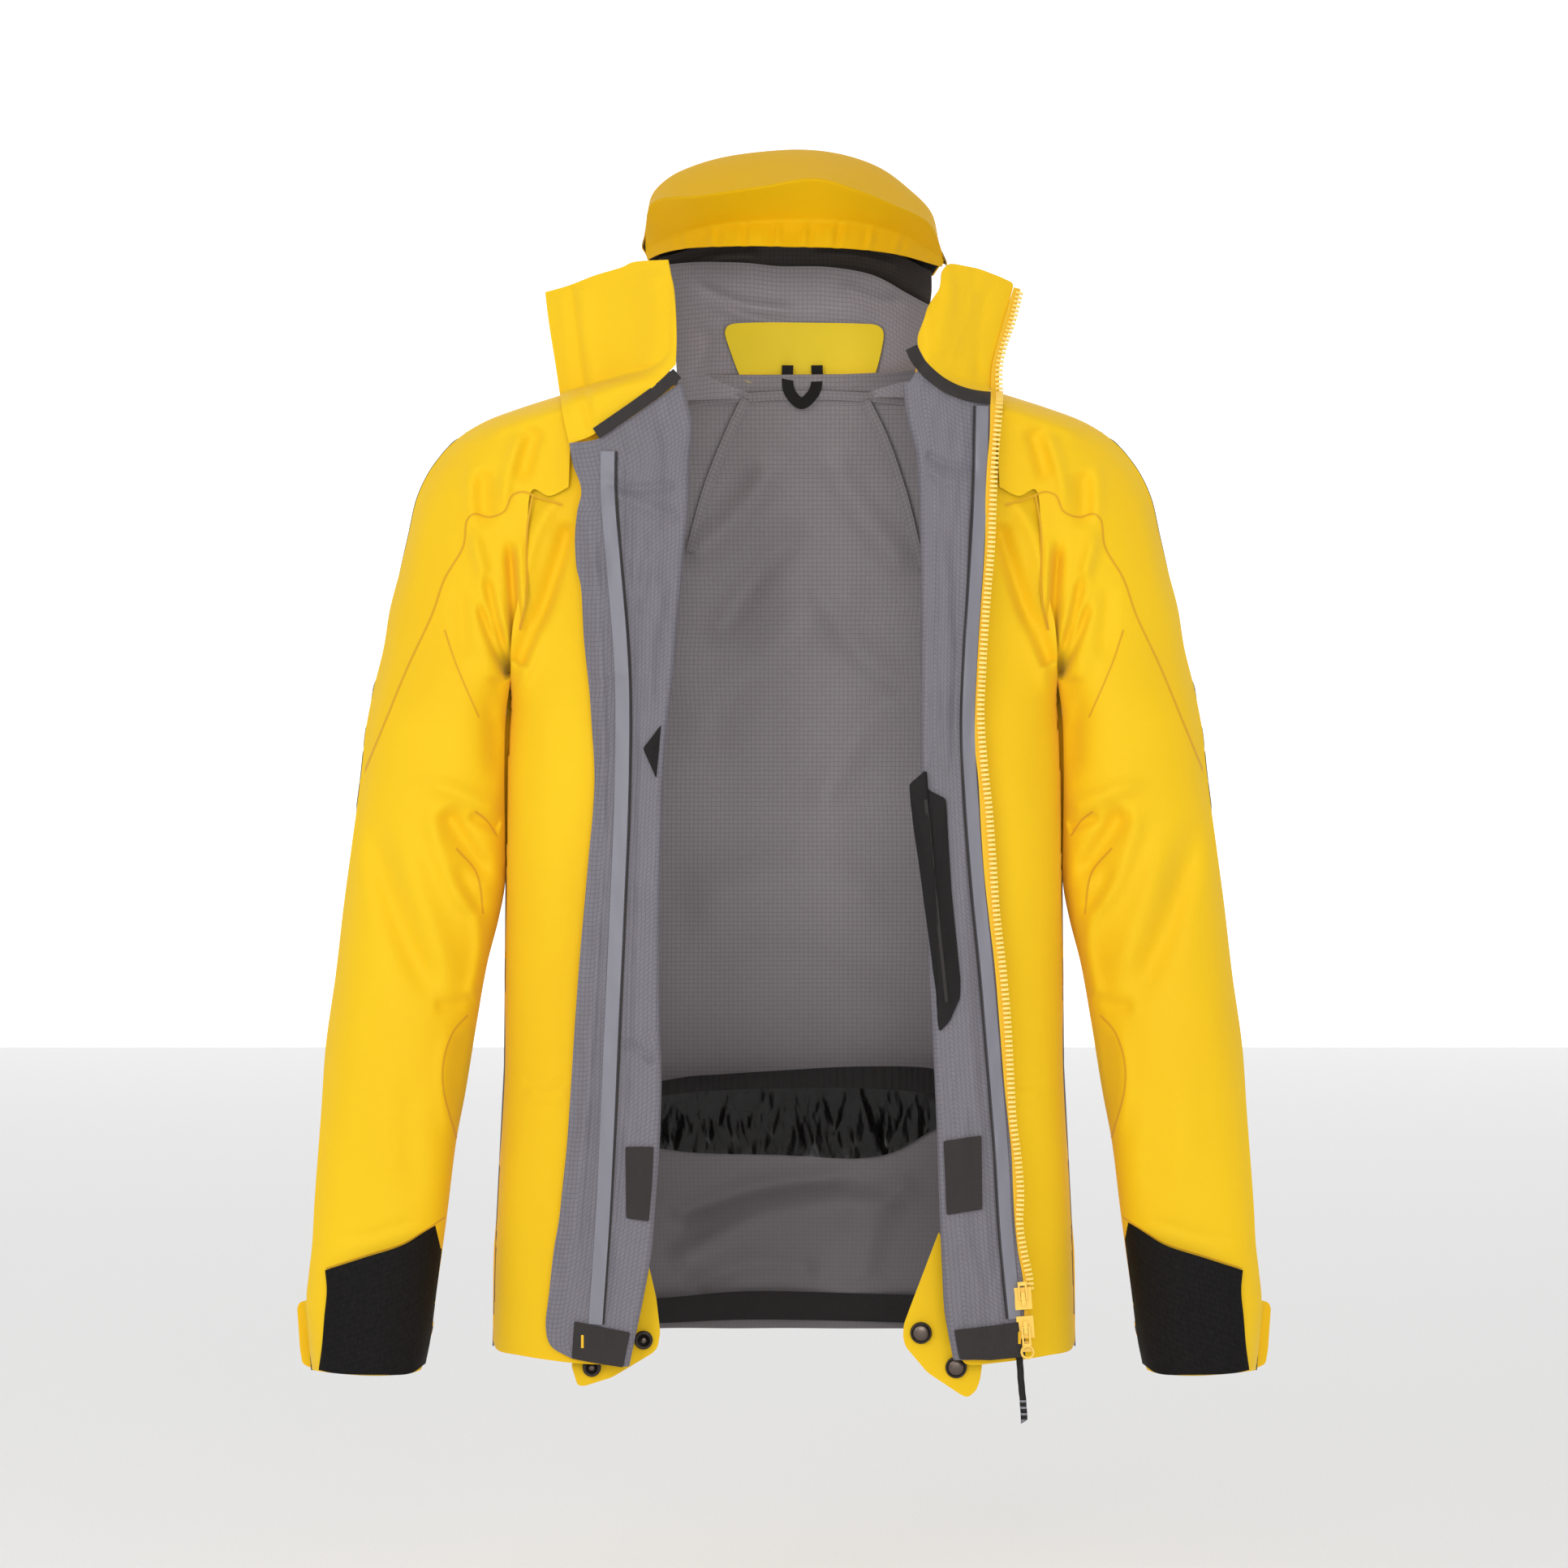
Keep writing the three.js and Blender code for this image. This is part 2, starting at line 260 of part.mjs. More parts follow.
const pLo = add('pull_lower', pullGeo(18), mat(COL.zip, 0.5)); pLo.position.copy(pinLo); pLo.quaternion.copy(sLo.quaternion);
{ // short tab pull on the upper slider, lying up along the chain
  const g = solid(cyl(0.9, 6.6, 10, [0, 0, 0], 'x')).add(solid(new THREE.BoxGeometry(1.4, 1.6, 11).translate(-2.7, 0, 4.9))).add(solid(new THREE.BoxGeometry(1.4, 1.6, 11).translate(2.7, 0, 4.9))).add(solid(new THREE.BoxGeometry(6.8, 1.6, 3).translate(0, 0, 11.4)));
  const m = add('pull_upper', geo(g), mat(COL.zip, 0.5)); m.position.copy(pinHi); m.quaternion.copy(sHi.quaternion);
}
{ const p = ZA.clone().addScaledVector(zdir, -49); p.y -= 2; const b = add('zip_box', new THREE.BoxGeometry(8, 5, 8), mat(COL.zip, 0.5)); b.position.copy(p); b.quaternion.copy(sLo.quaternion); b.position.x -= 0; }

// ---- snap tabs of the snow skirt, hanging at the hem behind the folded fronts ----
function outline(pts, t) { const s = new THREE.Shape(pts.map(p => new THREE.Vector2(p[0], p[1]))); const g = new THREE.ExtrudeGeometry(s, { depth: t, bevelEnabled: false }); g.rotateX(Math.PI / 2); return g; }
const TABY = -84;
const tabR = [[-105.8, -656], [-98.3, -703], [-95.2, -730], [-97.1, -741], [-100.8, -745.5], [-132, -764], [-154, -771], [-158.9, -770.5], [-162.7, -762], [-163.9, -754.3], [-150, -736], [-126, -704]];
const tabL = [[119.5, -651], [101.4, -698.5], [92.1, -723.4], [91.4, -732.8], [93.3, -740.3], [110.2, -760.3], [136.4, -777.7], [141.4, -779.6], [147.6, -774.6], [150.7, -766.5], [152.6, -753.4], [140, -716], [130, -672]];
for (const [nm, pts] of [['snap_tab_right', tabR], ['snap_tab_left', tabL]]) { const g = outline(pts, 1.6); g.translate(0, TABY + 0.8, 0); add(nm, g, mat(COL.yellow)); }
for (const [i, p] of [[1, [-108.2, -736]], [2, [-148, -757]]]) {
  const prof = [[3, 0], [7.2, 0], [7.2, 2], [5.4, 3.2], [4.2, 3.2], [3, 2]].map(q => new THREE.Vector2(...q)); prof.push(prof[0].clone());
  const g = new THREE.LatheGeometry(prof, 16); g.rotateX(Math.PI); add('snap_socket_' + i, g, mat(COL.bronze, 0.4, 0.8)).position.set(p[0], TABY - 1.2, p[1]);
}
for (const [i, p] of [[1, [105.5, -730.5]], [2, [132.5, -757]]]) {
  const g = new THREE.CylinderGeometry(7.2, 8.4, 2.6, 16); g.rotateX(Math.PI); add('snap_cap_' + i, g, mat(COL.bronze, 0.4, 0.8)).position.set(p[0], TABY - 2.5, p[1]);
}

// ---- inside the body ----
const inY = (x, z, o) => (backY(x, z) - o);
const band = (z0, z1, xw, off, nz, nx, t) => sheet(lin(nz, q => lin(nx, s => { const z = mix(z0, z1, q), x = mix(-xw, xw, s); return V(x, backY(x, z) - off, z); })), t);
add('skirt_elastic', band(-559, -540, 190, 12, 2, 13, 4), mat(COL.black, 0.9));
add('snow_skirt', band(-612, -560.5, 190, 14, 3, 13, 3), mat(COL.gloss, 0.25));
add('hem_facing', band(-744, -722, 200, 3.6, 2, 17, 1.4), mat(COL.black, 0.9));
// corners of the inner pockets, showing on the folded fronts beside the fold
add('inner_pocket_left', sheet(lin(6, t => lin(3, s => lapelPt(FOLD_R, 1, mix(-498, -300, t), mix(2, 20, s), 4.4))), 1.4), mat(COL.black, 0.8));
add('inner_pocket_right', sheet(lin(3, t => lin(2, s => lapelPt(FOLD_L, -1, mix(-302, -264, t), mix(2, 12, s), 4.4))), 1.4), mat(COL.black, 0.8));

// hem cord tail: flat webbing hanging out of the left front's hem
{
  const s = new THREE.Shape(lin(8, t => { const a = t * 2 * Math.PI * 7 / 8; return new THREE.Vector2(2 * Math.cos(a), 2 * Math.sin(a)); }));
  const path = new THREE.CatmullRomCurve3([V(181, -98, -751), V(182, -98.5, -767), V(183.4, -99, -781), V(184.4, -99.5, -797)]);
  add('hem_cord', new THREE.ExtrudeGeometry(s, { steps: 8, extrudePath: path, bevelEnabled: false }), mat(COL.black, 0.9));
}

export default root;
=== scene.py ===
import bpy, math
import numpy as np
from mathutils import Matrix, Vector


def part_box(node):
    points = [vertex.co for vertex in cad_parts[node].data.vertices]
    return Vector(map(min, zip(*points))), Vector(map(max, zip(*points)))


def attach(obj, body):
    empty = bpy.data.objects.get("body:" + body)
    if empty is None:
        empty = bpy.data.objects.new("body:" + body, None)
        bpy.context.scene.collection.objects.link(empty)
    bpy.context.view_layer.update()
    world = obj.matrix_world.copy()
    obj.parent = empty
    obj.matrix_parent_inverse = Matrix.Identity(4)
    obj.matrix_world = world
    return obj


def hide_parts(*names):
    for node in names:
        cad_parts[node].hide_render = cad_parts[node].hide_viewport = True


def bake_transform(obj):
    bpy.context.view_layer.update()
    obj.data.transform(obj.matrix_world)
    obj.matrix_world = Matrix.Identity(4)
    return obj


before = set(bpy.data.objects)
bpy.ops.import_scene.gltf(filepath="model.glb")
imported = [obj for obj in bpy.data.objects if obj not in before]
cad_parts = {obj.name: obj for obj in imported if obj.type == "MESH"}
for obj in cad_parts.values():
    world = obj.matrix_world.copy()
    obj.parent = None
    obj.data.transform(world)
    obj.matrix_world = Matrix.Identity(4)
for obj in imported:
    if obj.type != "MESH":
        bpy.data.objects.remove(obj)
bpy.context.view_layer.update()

rng = np.random.default_rng(7)

# ---------------------------------------------------------------- camera
# Plan grid: every outline below is drawn on a front elevation whose unit is 0.64 mm at mid depth,
# seen from 3.7 m, so a point keeps its place in the front view whatever its depth is.
K, DIST, CX, CY, Z0 = 0.64, 3700.0, 965.5, 966.0, -307.8
cam = bpy.data.cameras.new("view"); cam_o = bpy.data.objects.new("view", cam)
bpy.context.scene.collection.objects.link(cam_o); bpy.context.scene.camera = cam_o
cam_o.location = (0.0, -DIST / 1000, Z0 / 1000); cam_o.rotation_euler = (math.pi / 2, 0, 0)
cam.sensor_width = 36.0; cam.lens = 36.0 * DIST / (1932 * K); cam.clip_end = 60


def xz(u, v, y):
    s = K * (DIST + y) / DIST
    return (u - CX) * s, Z0 + (CY - v) * s


def proj(x, y, z):
    s = K * (DIST + y) / DIST
    return x / s + CX, CY - (z - Z0) / s


def place(u, v, f, d=0.0):
    """points on the surface y=f(x,z), pulled d mm towards the viewer, kept on the same plan spot"""
    y = np.zeros_like(u, dtype=float)
    for _ in range(5):
        x, z = xz(u, v, y)
        y = f(x, z)
    y = y - d
    x, z = xz(u, v, y)
    return np.stack([x, y, z], -1) / 1000


def tab(pairs):
    a = np.array(sorted(pairs), float)
    return lambda q: np.interp(q, a[:, 0], a[:, 1])


def spline(pts, n, by="arc"):
    """n points along a centripetal curve through pts (2-D or 3-D)"""
    p = np.array(pts, float)
    if len(p) == 2:
        return p[0] + (p[1] - p[0]) * np.linspace(0, 1, n)[:, None]
    q = np.vstack([2 * p[0] - p[1], p, 2 * p[-1] - p[-2]])
    out = []
    for i in range(1, len(q) - 2):
        p0, p1, p2, p3 = q[i - 1:i + 3]
        t0 = 0; t1 = t0 + max(1e-6, np.linalg.norm(p1 - p0)) ** .5; t2 = t1 + max(1e-6, np.linalg.norm(p2 - p1)) ** .5; t3 = t2 + max(1e-6, np.linalg.norm(p3 - p2)) ** .5
        t = np.linspace(t1, t2, 12, endpoint=False)[:, None]
        a1 = (t1 - t) / (t1 - t0) * p0 + (t - t0) / (t1 - t0) * p1
        a2 = (t2 - t) / (t2 - t1) * p1 + (t - t1) / (t2 - t1) * p2
        a3 = (t3 - t) / (t3 - t2) * p2 + (t - t2) / (t3 - t2) * p3
        b1 = (t2 - t) / (t2 - t0) * a1 + (t - t0) / (t2 - t0) * a2
        b2 = (t3 - t) / (t3 - t1) * a2 + (t - t1) / (t3 - t1) * a3
        out.append((t2 - t) / (t2 - t1) * b1 + (t - t1) / (t2 - t1) * b2)
    c = np.vstack(out + [p[-1:]])
    s = np.concatenate([[0], np.cumsum(np.linalg.norm(np.diff(c, axis=0), axis=1))])
    if by == "v":
        s = (c[:, 1] - c[0, 1]) / (c[-1, 1] - c[0, 1]); s = np.maximum.accumulate(s + np.arange(len(s)) * 1e-9)
    g = np.linspace(0, s[-1], n)
    return np.stack([np.interp(g, s, c[:, k]) for k in range(p.shape[1])], -1)


def coons(top, bottom, left, right, nu, nv, by="arc"):
    T, B = spline(top, nu), spline(bottom, nu)
    L, R = spline(left, nv, by), spline(right, nv, by)
    u = np.linspace(0, 1, nu)[None, :, None]; v = np.linspace(0, 1, nv)[:, None, None]
    P = (1 - v) * T[None] + v * B[None] + (1 - u) * L[:, None] + u * R[:, None]
    P -= (1 - u) * (1 - v) * L[0] + u * (1 - v) * R[0] + (1 - u) * v * L[-1] + u * v * R[-1]
    return P[..., 0], P[..., 1]


def sstep(a, b, x):
    t = np.clip((x - a) / (b - a), 0, 1)
    return t * t * (3 - 2 * t)


# ---------------------------------------------------------------- meshes
COL = bpy.context.scene.collection


def mesh_obj(name, V, F, mats, uv=None, idx=None, smooth=True):
    me = bpy.data.meshes.new(name); me.from_pydata([tuple(v) for v in V], [], F); me.update()
    for m in mats:
        me.materials.append(m)
    if idx is not None:
        me.polygons.foreach_set("material_index", np.asarray(idx, dtype=np.int32))
    if uv is not None:
        l = me.uv_layers.new(name="cut")
        vi = np.empty(len(me.loops), dtype=np.int32); me.loops.foreach_get("vertex_index", vi)
        l.data.foreach_set("uv", np.asarray(uv)[vi].astype(np.float32).ravel())
    if smooth:
        me.polygons.foreach_set("use_smooth", np.ones(len(me.polygons), dtype=bool))
    o = bpy.data.objects.new(name, me); COL.objects.link(o)
    return o


GRIDS, POLAR = {}, set()


def grid(name, P, mats, thick=0.0, body=None, flip=False, both=True, uvs=None, closed_u=False):
    """cloth sheet from a grid of points [nv, nu, 3] in metres; the first material faces the grid's normal"""
    GRIDS[name] = P
    nv, nu = P.shape[:2]
    du = np.concatenate([np.zeros((nv, 1)), np.cumsum(np.linalg.norm(np.diff(P, axis=1), axis=2), axis=1)], 1)
    dv = np.concatenate([np.zeros((1, nu)), np.cumsum(np.linalg.norm(np.diff(P, axis=0), axis=2), axis=0)], 0)
    du = du - du[:, nu // 2][:, None]
    uv = (np.stack([du, -dv], -1) if uvs is None else uvs).reshape(-1, 2)
    V = P.reshape(-1, 3)
    k = np.arange(nv * nu).reshape(nv, nu)
    a, b, c, d = k[:-1, :-1], k[:-1, 1:], k[1:, 1:], k[1:, :-1]
    F = np.stack([a, d, c, b] if not flip else [a, b, c, d], -1).reshape(-1, 4).tolist()
    o = mesh_obj(name, V, F, mats, uv)
    cnt = np.zeros(len(o.data.edges), dtype=np.int32); le = np.empty(len(o.data.loops), dtype=np.int32); o.data.loops.foreach_get("edge_index", le)
    np.add.at(cnt, le, 1); o.data.edges.foreach_set("use_edge_sharp", cnt == 1)
    if thick:
        m = o.modifiers.new("cloth_thickness", "SOLIDIFY"); m.thickness = thick / 1000; m.offset = -1.0
        m.use_even_offset = False
        if len(mats) > 1:
            m.material_offset = 1; m.material_offset_rim = 0
    if body in ("lapel_right", "lapel_left"):
        fold_blend(o, body)
    elif body:
        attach(o, body)
    return o


def fold_blend(o, body):
    """works out the fold axis and swing direction of a folded front, which are not used, and bakes its transform"""
    sg = -1 if body == "lapel_right" else 1
    a, b = (np.array(q, float) / 1000 for q in FLD[sg]); ax = (b - a) / np.linalg.norm(b - a)
    g = np.array([sg * 1.0, -1.3, 0.0]); g -= ax * (g @ ax); g /= np.linalg.norm(g)
    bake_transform(o)


def join(name, objs):
    for o in bpy.context.selected_objects:
        o.select_set(False)
    for o in objs:
        o.select_set(True)
    bpy.context.view_layer.objects.active = objs[0]
    bpy.ops.object.join(); o = bpy.context.view_layer.objects.active; o.name = name
    return o


# ---------------------------------------------------------------- materials
def srgb(r, g, b):
    f = lambda c: (c / 255) / 12.92 if c / 255 <= .04045 else ((c / 255 + .055) / 1.055) ** 2.4
    return (f(r), f(g), f(b), 1.0)


class Mat:
    def __init__(s, name):
        s.m = bpy.data.materials.new(name); s.m.use_nodes = True; s.nt = s.m.node_tree
        s.p = next(n for n in s.nt.nodes if n.type == "BSDF_PRINCIPLED"); s.l = s.nt.links
        s.tc = s.n("ShaderNodeTexCoord")

    def n(s, t, **k):
        x = s.nt.nodes.new(t)
        for a, b in k.items():
            setattr(x, a, b)
        return x

    def link(s, a, b):
        s.l.new(a, b)

    def noise(s, vec, scale, detail=3, rough=.5):
        x = s.n("ShaderNodeTexNoise"); x.inputs["Scale"].default_value = scale; x.inputs["Detail"].default_value = detail; x.inputs["Roughness"].default_value = rough
        s.link(vec, x.inputs["Vector"]); return x.outputs["Fac"]

    def ramp(s, fac, c0, c1, p0=0.0, p1=1.0):
        x = s.n("ShaderNodeValToRGB"); x.color_ramp.elements[0].color = c0; x.color_ramp.elements[1].color = c1
        x.color_ramp.elements[0].position = p0; x.color_ramp.elements[1].position = p1
        s.link(fac, x.inputs["Fac"]); return x.outputs["Color"]

    def math(s, op, a, b=None):
        x = s.n("ShaderNodeMath", operation=op)
        for i, q in enumerate((a, b)):
            if q is None:
                continue
            if isinstance(q, (int, float)):
                x.inputs[i].default_value = q
            else:
                s.link(q, x.inputs[i])
        return x.outputs[0]

    def mix(s, fac, a, b, mode="MIX"):
        x = s.n("ShaderNodeMix", data_type="RGBA", blend_type=mode)
        for q, i in ((fac, 0), (a, 6), (b, 7)):
            if isinstance(q, (int, float)):
                x.inputs[i].default_value = q
            elif isinstance(q, tuple):
                x.inputs[i].default_value = q
            else:
                s.link(q, x.inputs[i])
        return x.outputs[2]

    def bump(s, h, strength, dist, prev=None):
        x = s.n("ShaderNodeBump"); x.inputs["Strength"].default_value = strength; x.inputs["Distance"].default_value = dist
        s.link(h, x.inputs["Height"])
        if prev is not None:
            s.link(prev, x.inputs["Normal"])
        return x.outputs["Normal"]

    def weave(s, pitch):
        """over-and-under weave from the cut coordinates, pitch in metres"""
        sp = s.n("ShaderNodeSeparateXYZ"); s.link(s.tc.outputs["UV"], sp.inputs[0])
        a = s.math("SINE", s.math("MULTIPLY", sp.outputs[0], 2 * math.pi / pitch))
        b = s.math("SINE", s.math("MULTIPLY", sp.outputs[1], 2 * math.pi / pitch))
        return s.math("MULTIPLY", a, b)

    def gridlines(s, pitch, w):
        """1 on thin ripstop lines, pitch apart"""
        sp = s.n("ShaderNodeSeparateXYZ"); s.link(s.tc.outputs["UV"], sp.inputs[0]); r = []
        for k in (0, 1):
            f = s.math("FRACT", s.math("MULTIPLY", sp.outputs[k], 1 / pitch))
            d = s.math("ABSOLUTE", s.math("SUBTRACT", f, 0.5))
            r.append(s.math("LESS_THAN", d, w))
        return s.math("MAXIMUM", r[0], r[1]), r


def set_in(p, **k):
    for a, b in k.items():
        n = a.replace("_", " ")
        if n in p.inputs:
            p.inputs[n].default_value = b


def shell(name, base, dark, rough=.62, sheen=.12, spec=.28):
    m = Mat(name); uv = m.tc.outputs["UV"]; ob = m.tc.outputs["Object"]
    big = m.noise(ob, 7, 3); fine = m.noise(ob, 160, 2)
    c = m.mix(m.math("MULTIPLY", big, 0.55), base, dark)
    c = m.mix(m.math("MULTIPLY", fine, 0.10), c, dark)
    m.link(c, m.p.inputs["Base Color"])
    r = m.math("ADD", m.math("MULTIPLY", m.noise(ob, 40, 2), 0.10), rough - .05); m.link(r, m.p.inputs["Roughness"])
    n1 = m.bump(m.noise(ob, 22, 3), 0.10, 0.004)
    n2 = m.bump(m.weave(0.0007), 0.07, 0.0002, n1)
    m.link(n2, m.p.inputs["Normal"])
    set_in(m.p, Sheen_Weight=sheen, Sheen_Roughness=0.6, Specular_IOR_Level=spec)
    return m.m


def ripstop(name, base, line, light, rough=.55, pitch=.0036, low=None):
    m = Mat(name); ob = m.tc.outputs["Object"]
    g, rr = m.gridlines(pitch, 0.10)
    warp = m.noise(ob, 14, 3)
    c = m.mix(m.math("MULTIPLY", warp, 0.7), base, light)
    fine = m.noise(ob, 420, 1)
    c = m.mix(m.math("MULTIPLY", fine, 0.25), c, line)
    c = m.mix(m.math("MULTIPLY", g, 0.36), c, line)
    if low is not None:  # painted shade: the lower part of the piece is darker, standing in for the shadow inside the lower back
        sp = m.n("ShaderNodeSeparateXYZ"); m.link(ob, sp.inputs[0])
        c = m.mix(m.math("MULTIPLY", m.math("MINIMUM", m.math("MAXIMUM", m.math("MULTIPLY", m.math("ADD", sp.outputs[2], .33), -3.2), 0), 1), .85), c, low)
    m.link(c, m.p.inputs["Base Color"])
    n1 = m.bump(m.noise(ob, 30, 4), 0.30, 0.003)
    n2 = m.bump(g, 0.25, 0.00025, n1)
    n3 = m.bump(m.weave(0.0006), 0.10, 0.0002, n2)
    m.link(n3, m.p.inputs["Normal"])
    m.link(m.math("ADD", m.math("MULTIPLY", warp, 0.2), rough - .1), m.p.inputs["Roughness"])
    set_in(m.p, Sheen_Weight=0.10, Specular_IOR_Level=0.35)
    return m.m


def plainweave(name, base, light, rough=.8, pitch=.0009, bump=.3, spec=.25):
    m = Mat(name); ob = m.tc.outputs["Object"]
    w = m.weave(pitch)
    c = m.mix(m.math("MULTIPLY", m.math("ADD", m.math("MULTIPLY", w, .5), .5), 0.45), base, light)
    c = m.mix(m.math("MULTIPLY", m.noise(ob, 60, 2), .3), c, base)
    m.link(c, m.p.inputs["Base Color"])
    n = m.bump(m.noise(ob, 35, 3), .2, .002); n = m.bump(w, bump, .0003, n); m.link(n, m.p.inputs["Normal"])
    m.link(m.math("ADD", m.math("MULTIPLY", m.noise(ob, 90, 2), .12), rough - .06), m.p.inputs["Roughness"])
    set_in(m.p, Specular_IOR_Level=spec)
    return m.m


YEL, YELD = srgb(246, 203, 18), srgb(230, 176, 6)
M_Y = shell("yellow_shell", YEL, YELD, .64, .05, .2)
M_YIN = shell("yellow_facing", srgb(252, 207, 44), srgb(238, 188, 26))
M_YH = shell("yellow_hood", srgb(232, 182, 6), srgb(214, 160, 2), .66, 0.0, .12)
# painted shade: low= darkens the back lining towards the hem, where the inside of the back lies in shadow
M_G = ripstop("lining_back", srgb(150, 143, 146), srgb(92, 86, 90), srgb(168, 161, 165), low=srgb(88, 83, 85))
M_L = ripstop("lining_fold", srgb(115, 111, 118), srgb(64, 62, 70), srgb(136, 132, 141))
# painted light: a lighter copy of the grey lining for the collar lining, brightened against the shade the collar sits
# in
M_LC = ripstop("lining_collar_lit", srgb(158, 152, 158), srgb(98, 93, 98), srgb(178, 172, 180))
M_HI = ripstop("lining_hood", srgb(64, 58, 55), srgb(36, 32, 30), srgb(84, 78, 76))
M_TAPE = plainweave("seam_tape", srgb(124, 123, 132), srgb(140, 140, 150), .42, .0014, .08, .4)
M_TR = plainweave("trim_binding", srgb(48, 45, 44), srgb(66, 62, 60), .72, .0011)
M_BK = plainweave("black_webbing", srgb(26, 24, 24), srgb(52, 50, 49), .72, .0012, .5)
M_GL = plainweave("skirt_nylon", srgb(6, 5, 5), srgb(11, 10, 10), .26, .0006, .08, .34)
M_ZT = plainweave("zip_tape", srgb(243, 190, 40), srgb(252, 210, 72), .7, .0012, .4)


def plastic(name, base, rough=.38, metal=0.0):
    m = Mat(name); ob = m.tc.outputs["Object"]
    c = m.mix(m.math("MULTIPLY", m.noise(ob, 300, 2), .3), base, tuple(x * .72 for x in base[:3]) + (1,))
    m.link(c, m.p.inputs["Base Color"])
    m.link(m.math("ADD", m.math("MULTIPLY", m.noise(ob, 700, 2), .15), rough - .07), m.p.inputs["Roughness"])
    m.link(m.bump(m.noise(ob, 900, 2), .08, .0002), m.p.inputs["Normal"]); set_in(m.p, Metallic=metal)
    return m.m


M_ZP = plastic("zip_teeth", srgb(255, 222, 112)); M_ZS = plastic("zip_slider", srgb(252, 208, 84), .3)
M_SN = plastic("snap_bronze", srgb(98, 87, 80), .3, .85); M_SR = plastic("snap_rim", srgb(54, 48, 45), .35, .7)


def dobby():
    """stretch cuff cloth: small honeycomb cells, slightly raised"""
    m = Mat("stretch_cuff"); ob = m.tc.outputs["UV"]
    mp = m.n("ShaderNodeMapping"); mp.inputs["Scale"].default_value = (420, 210, 1); m.link(ob, mp.inputs[0])
    v = m.n("ShaderNodeTexVoronoi"); v.feature = "SMOOTH_F1"; v.inputs["Scale"].default_value = 1.0; v.inputs["Randomness"].default_value = .35; m.link(mp.outputs[0], v.inputs["Vector"])
    c = m.ramp(v.outputs["Distance"], srgb(27, 25, 25), srgb(11, 10, 10), .1, .7); m.link(c, m.p.inputs["Base Color"])
    m.link(m.bump(m.math("SUBTRACT", 1.0, v.outputs["Distance"]), .5, .0006), m.p.inputs["Normal"]); set_in(m.p, Roughness=.8, Specular_IOR_Level=.16)
    return m.m


M_CF = dobby()

# ---------------------------------------------------------------- body surface (same law as the CAD solids)
Wz = tab([(24, 100), (16, 118), (6, 148), (-2, 166), (-12, 180), (-30, 190), (-60, 197), (-115, 203), (-150, 207), (-226, 214), (-300, 218), (-400, 219), (-530, 220), (-650, 226), (-750, 229), (-800, 229)])
DBz = tab([(24, 84), (0, 96), (-60, 112), (-150, 122), (-300, 124), (-450, 116), (-600, 118), (-750, 122), (-800, 122)])
FLD = {-1: ((-105.9, -112, -754), (-81.1, -82, 84)), 1: ((125.7, -112, -754), (109.3, -82, 84))}


def fold_at(sg, z):
    a, b = FLD[sg]; t = (z - a[2]) / (b[2] - a[2])
    return a[0] + (b[0] - a[0]) * t, a[1] + (b[1] - a[1]) * t


def sup(r, n):
    return np.power(np.clip(1 - np.power(np.clip(np.abs(r), 0, 1), n), 0, 1), 1 / n)


# silhouettes of the sleeve, x mm (positive side) by z
S_OUT = tab([(26, 96), (24, 100), (16, 118), (6, 148), (0, 170), (-11.5, 208), (-21, 234), (-30, 250), (-40, 263), (-48, 270), (-63, 281), (-83, 290), (-111, 296), (-140, 303), (-170, 311), (-201, 316), (-232, 323.5), (-266, 330), (-291, 332.5), (-322, 336), (-355, 341), (-403, 347), (-458, 353.6), (-513, 361), (-568, 365), (-637, 370), (-671, 372), (-714, 376), (-770, 367)])
S_IN = tab([(-60, 205), (-226, 214), (-300, 216), (-386, 219), (-414, 224.5), (-449, 233.5), (-495, 242), (-550, 250.5), (-587, 257.5), (-649, 265), (-704, 273), (-753, 280), (-769, 285)])
S_D = tab([(0, 50), (-60, 60), (-140, 66), (-226, 66), (-400, 60), (-550, 52), (-690, 46), (-770, 43)])
S_Y = tab([(-60, 0), (-226, 0), (-400, -6), (-600, -20), (-770, -28)])


def torso_f(x, z):
    """depth of the body's front wall, positive towards the viewer"""
    sg = np.sign(x) + (x == 0); w = Wz(z)
    fx, fy = np.where(sg < 0, fold_at(-1, z)[0], fold_at(1, z)[0]), np.where(sg < 0, fold_at(-1, z)[1], fold_at(1, z)[1])
    n = 3.4
    return (-fy - 4.2) / np.maximum(sup(fx / w, n), .4) * sup(x / w, n)


def sleeve_f(x, z, front=1):
    a = np.abs(x); o, i = S_OUT(z), S_IN(z); c, r = (o + i) / 2, (o - i) / 2 + 1.3
    inner = np.where(z > -226, c, c)  # above the armpit only the outer half is rounded
    t = (a - c) / r
    return S_D(z) * sup(np.where((z > -226) & (t < 0), t * sstep(-120, -226, z), t), 2.3) - S_Y(z) * front


def shoulder_f(x, z):
    """front depth over the shoulder and chest above the armpit, one surface from silhouette to centre"""
    a = np.abs(x); o = S_OUT(z) + 1.8 * sstep(0, -20, z); r = np.clip((o - a) / 95.0, 0, 1)
    d = 62 * np.power(np.clip(1 - (1 - r) ** 2.2, 0, 1), .5)
    sg = np.sign(x); fy = np.where(sg < 0, -fold_at(-1, z)[1], -fold_at(1, z)[1]) - 4.2
    inward = sstep(215, 120, a)
    cap = np.power(np.clip(1 - (1 - np.clip((o - a) / 60.0, 0, 1)) ** 2.2, 0, 1), .5)
    return d * (1 - inward) + np.maximum(d, fy * cap) * inward


def front_y(x, z):
    """whole front wall above the armpit; below it the body only"""
    k = sstep(-250, -205, z)
    return -(torso_f(x, z) * (1 - k) + shoulder_f(x, z) * k)


def arm_front(x, z):
    k = sstep(-262, -196, z)
    return -(sleeve_f(x, z) * (1 - k) + np.maximum(shoulder_f(x, z), 0) * k)


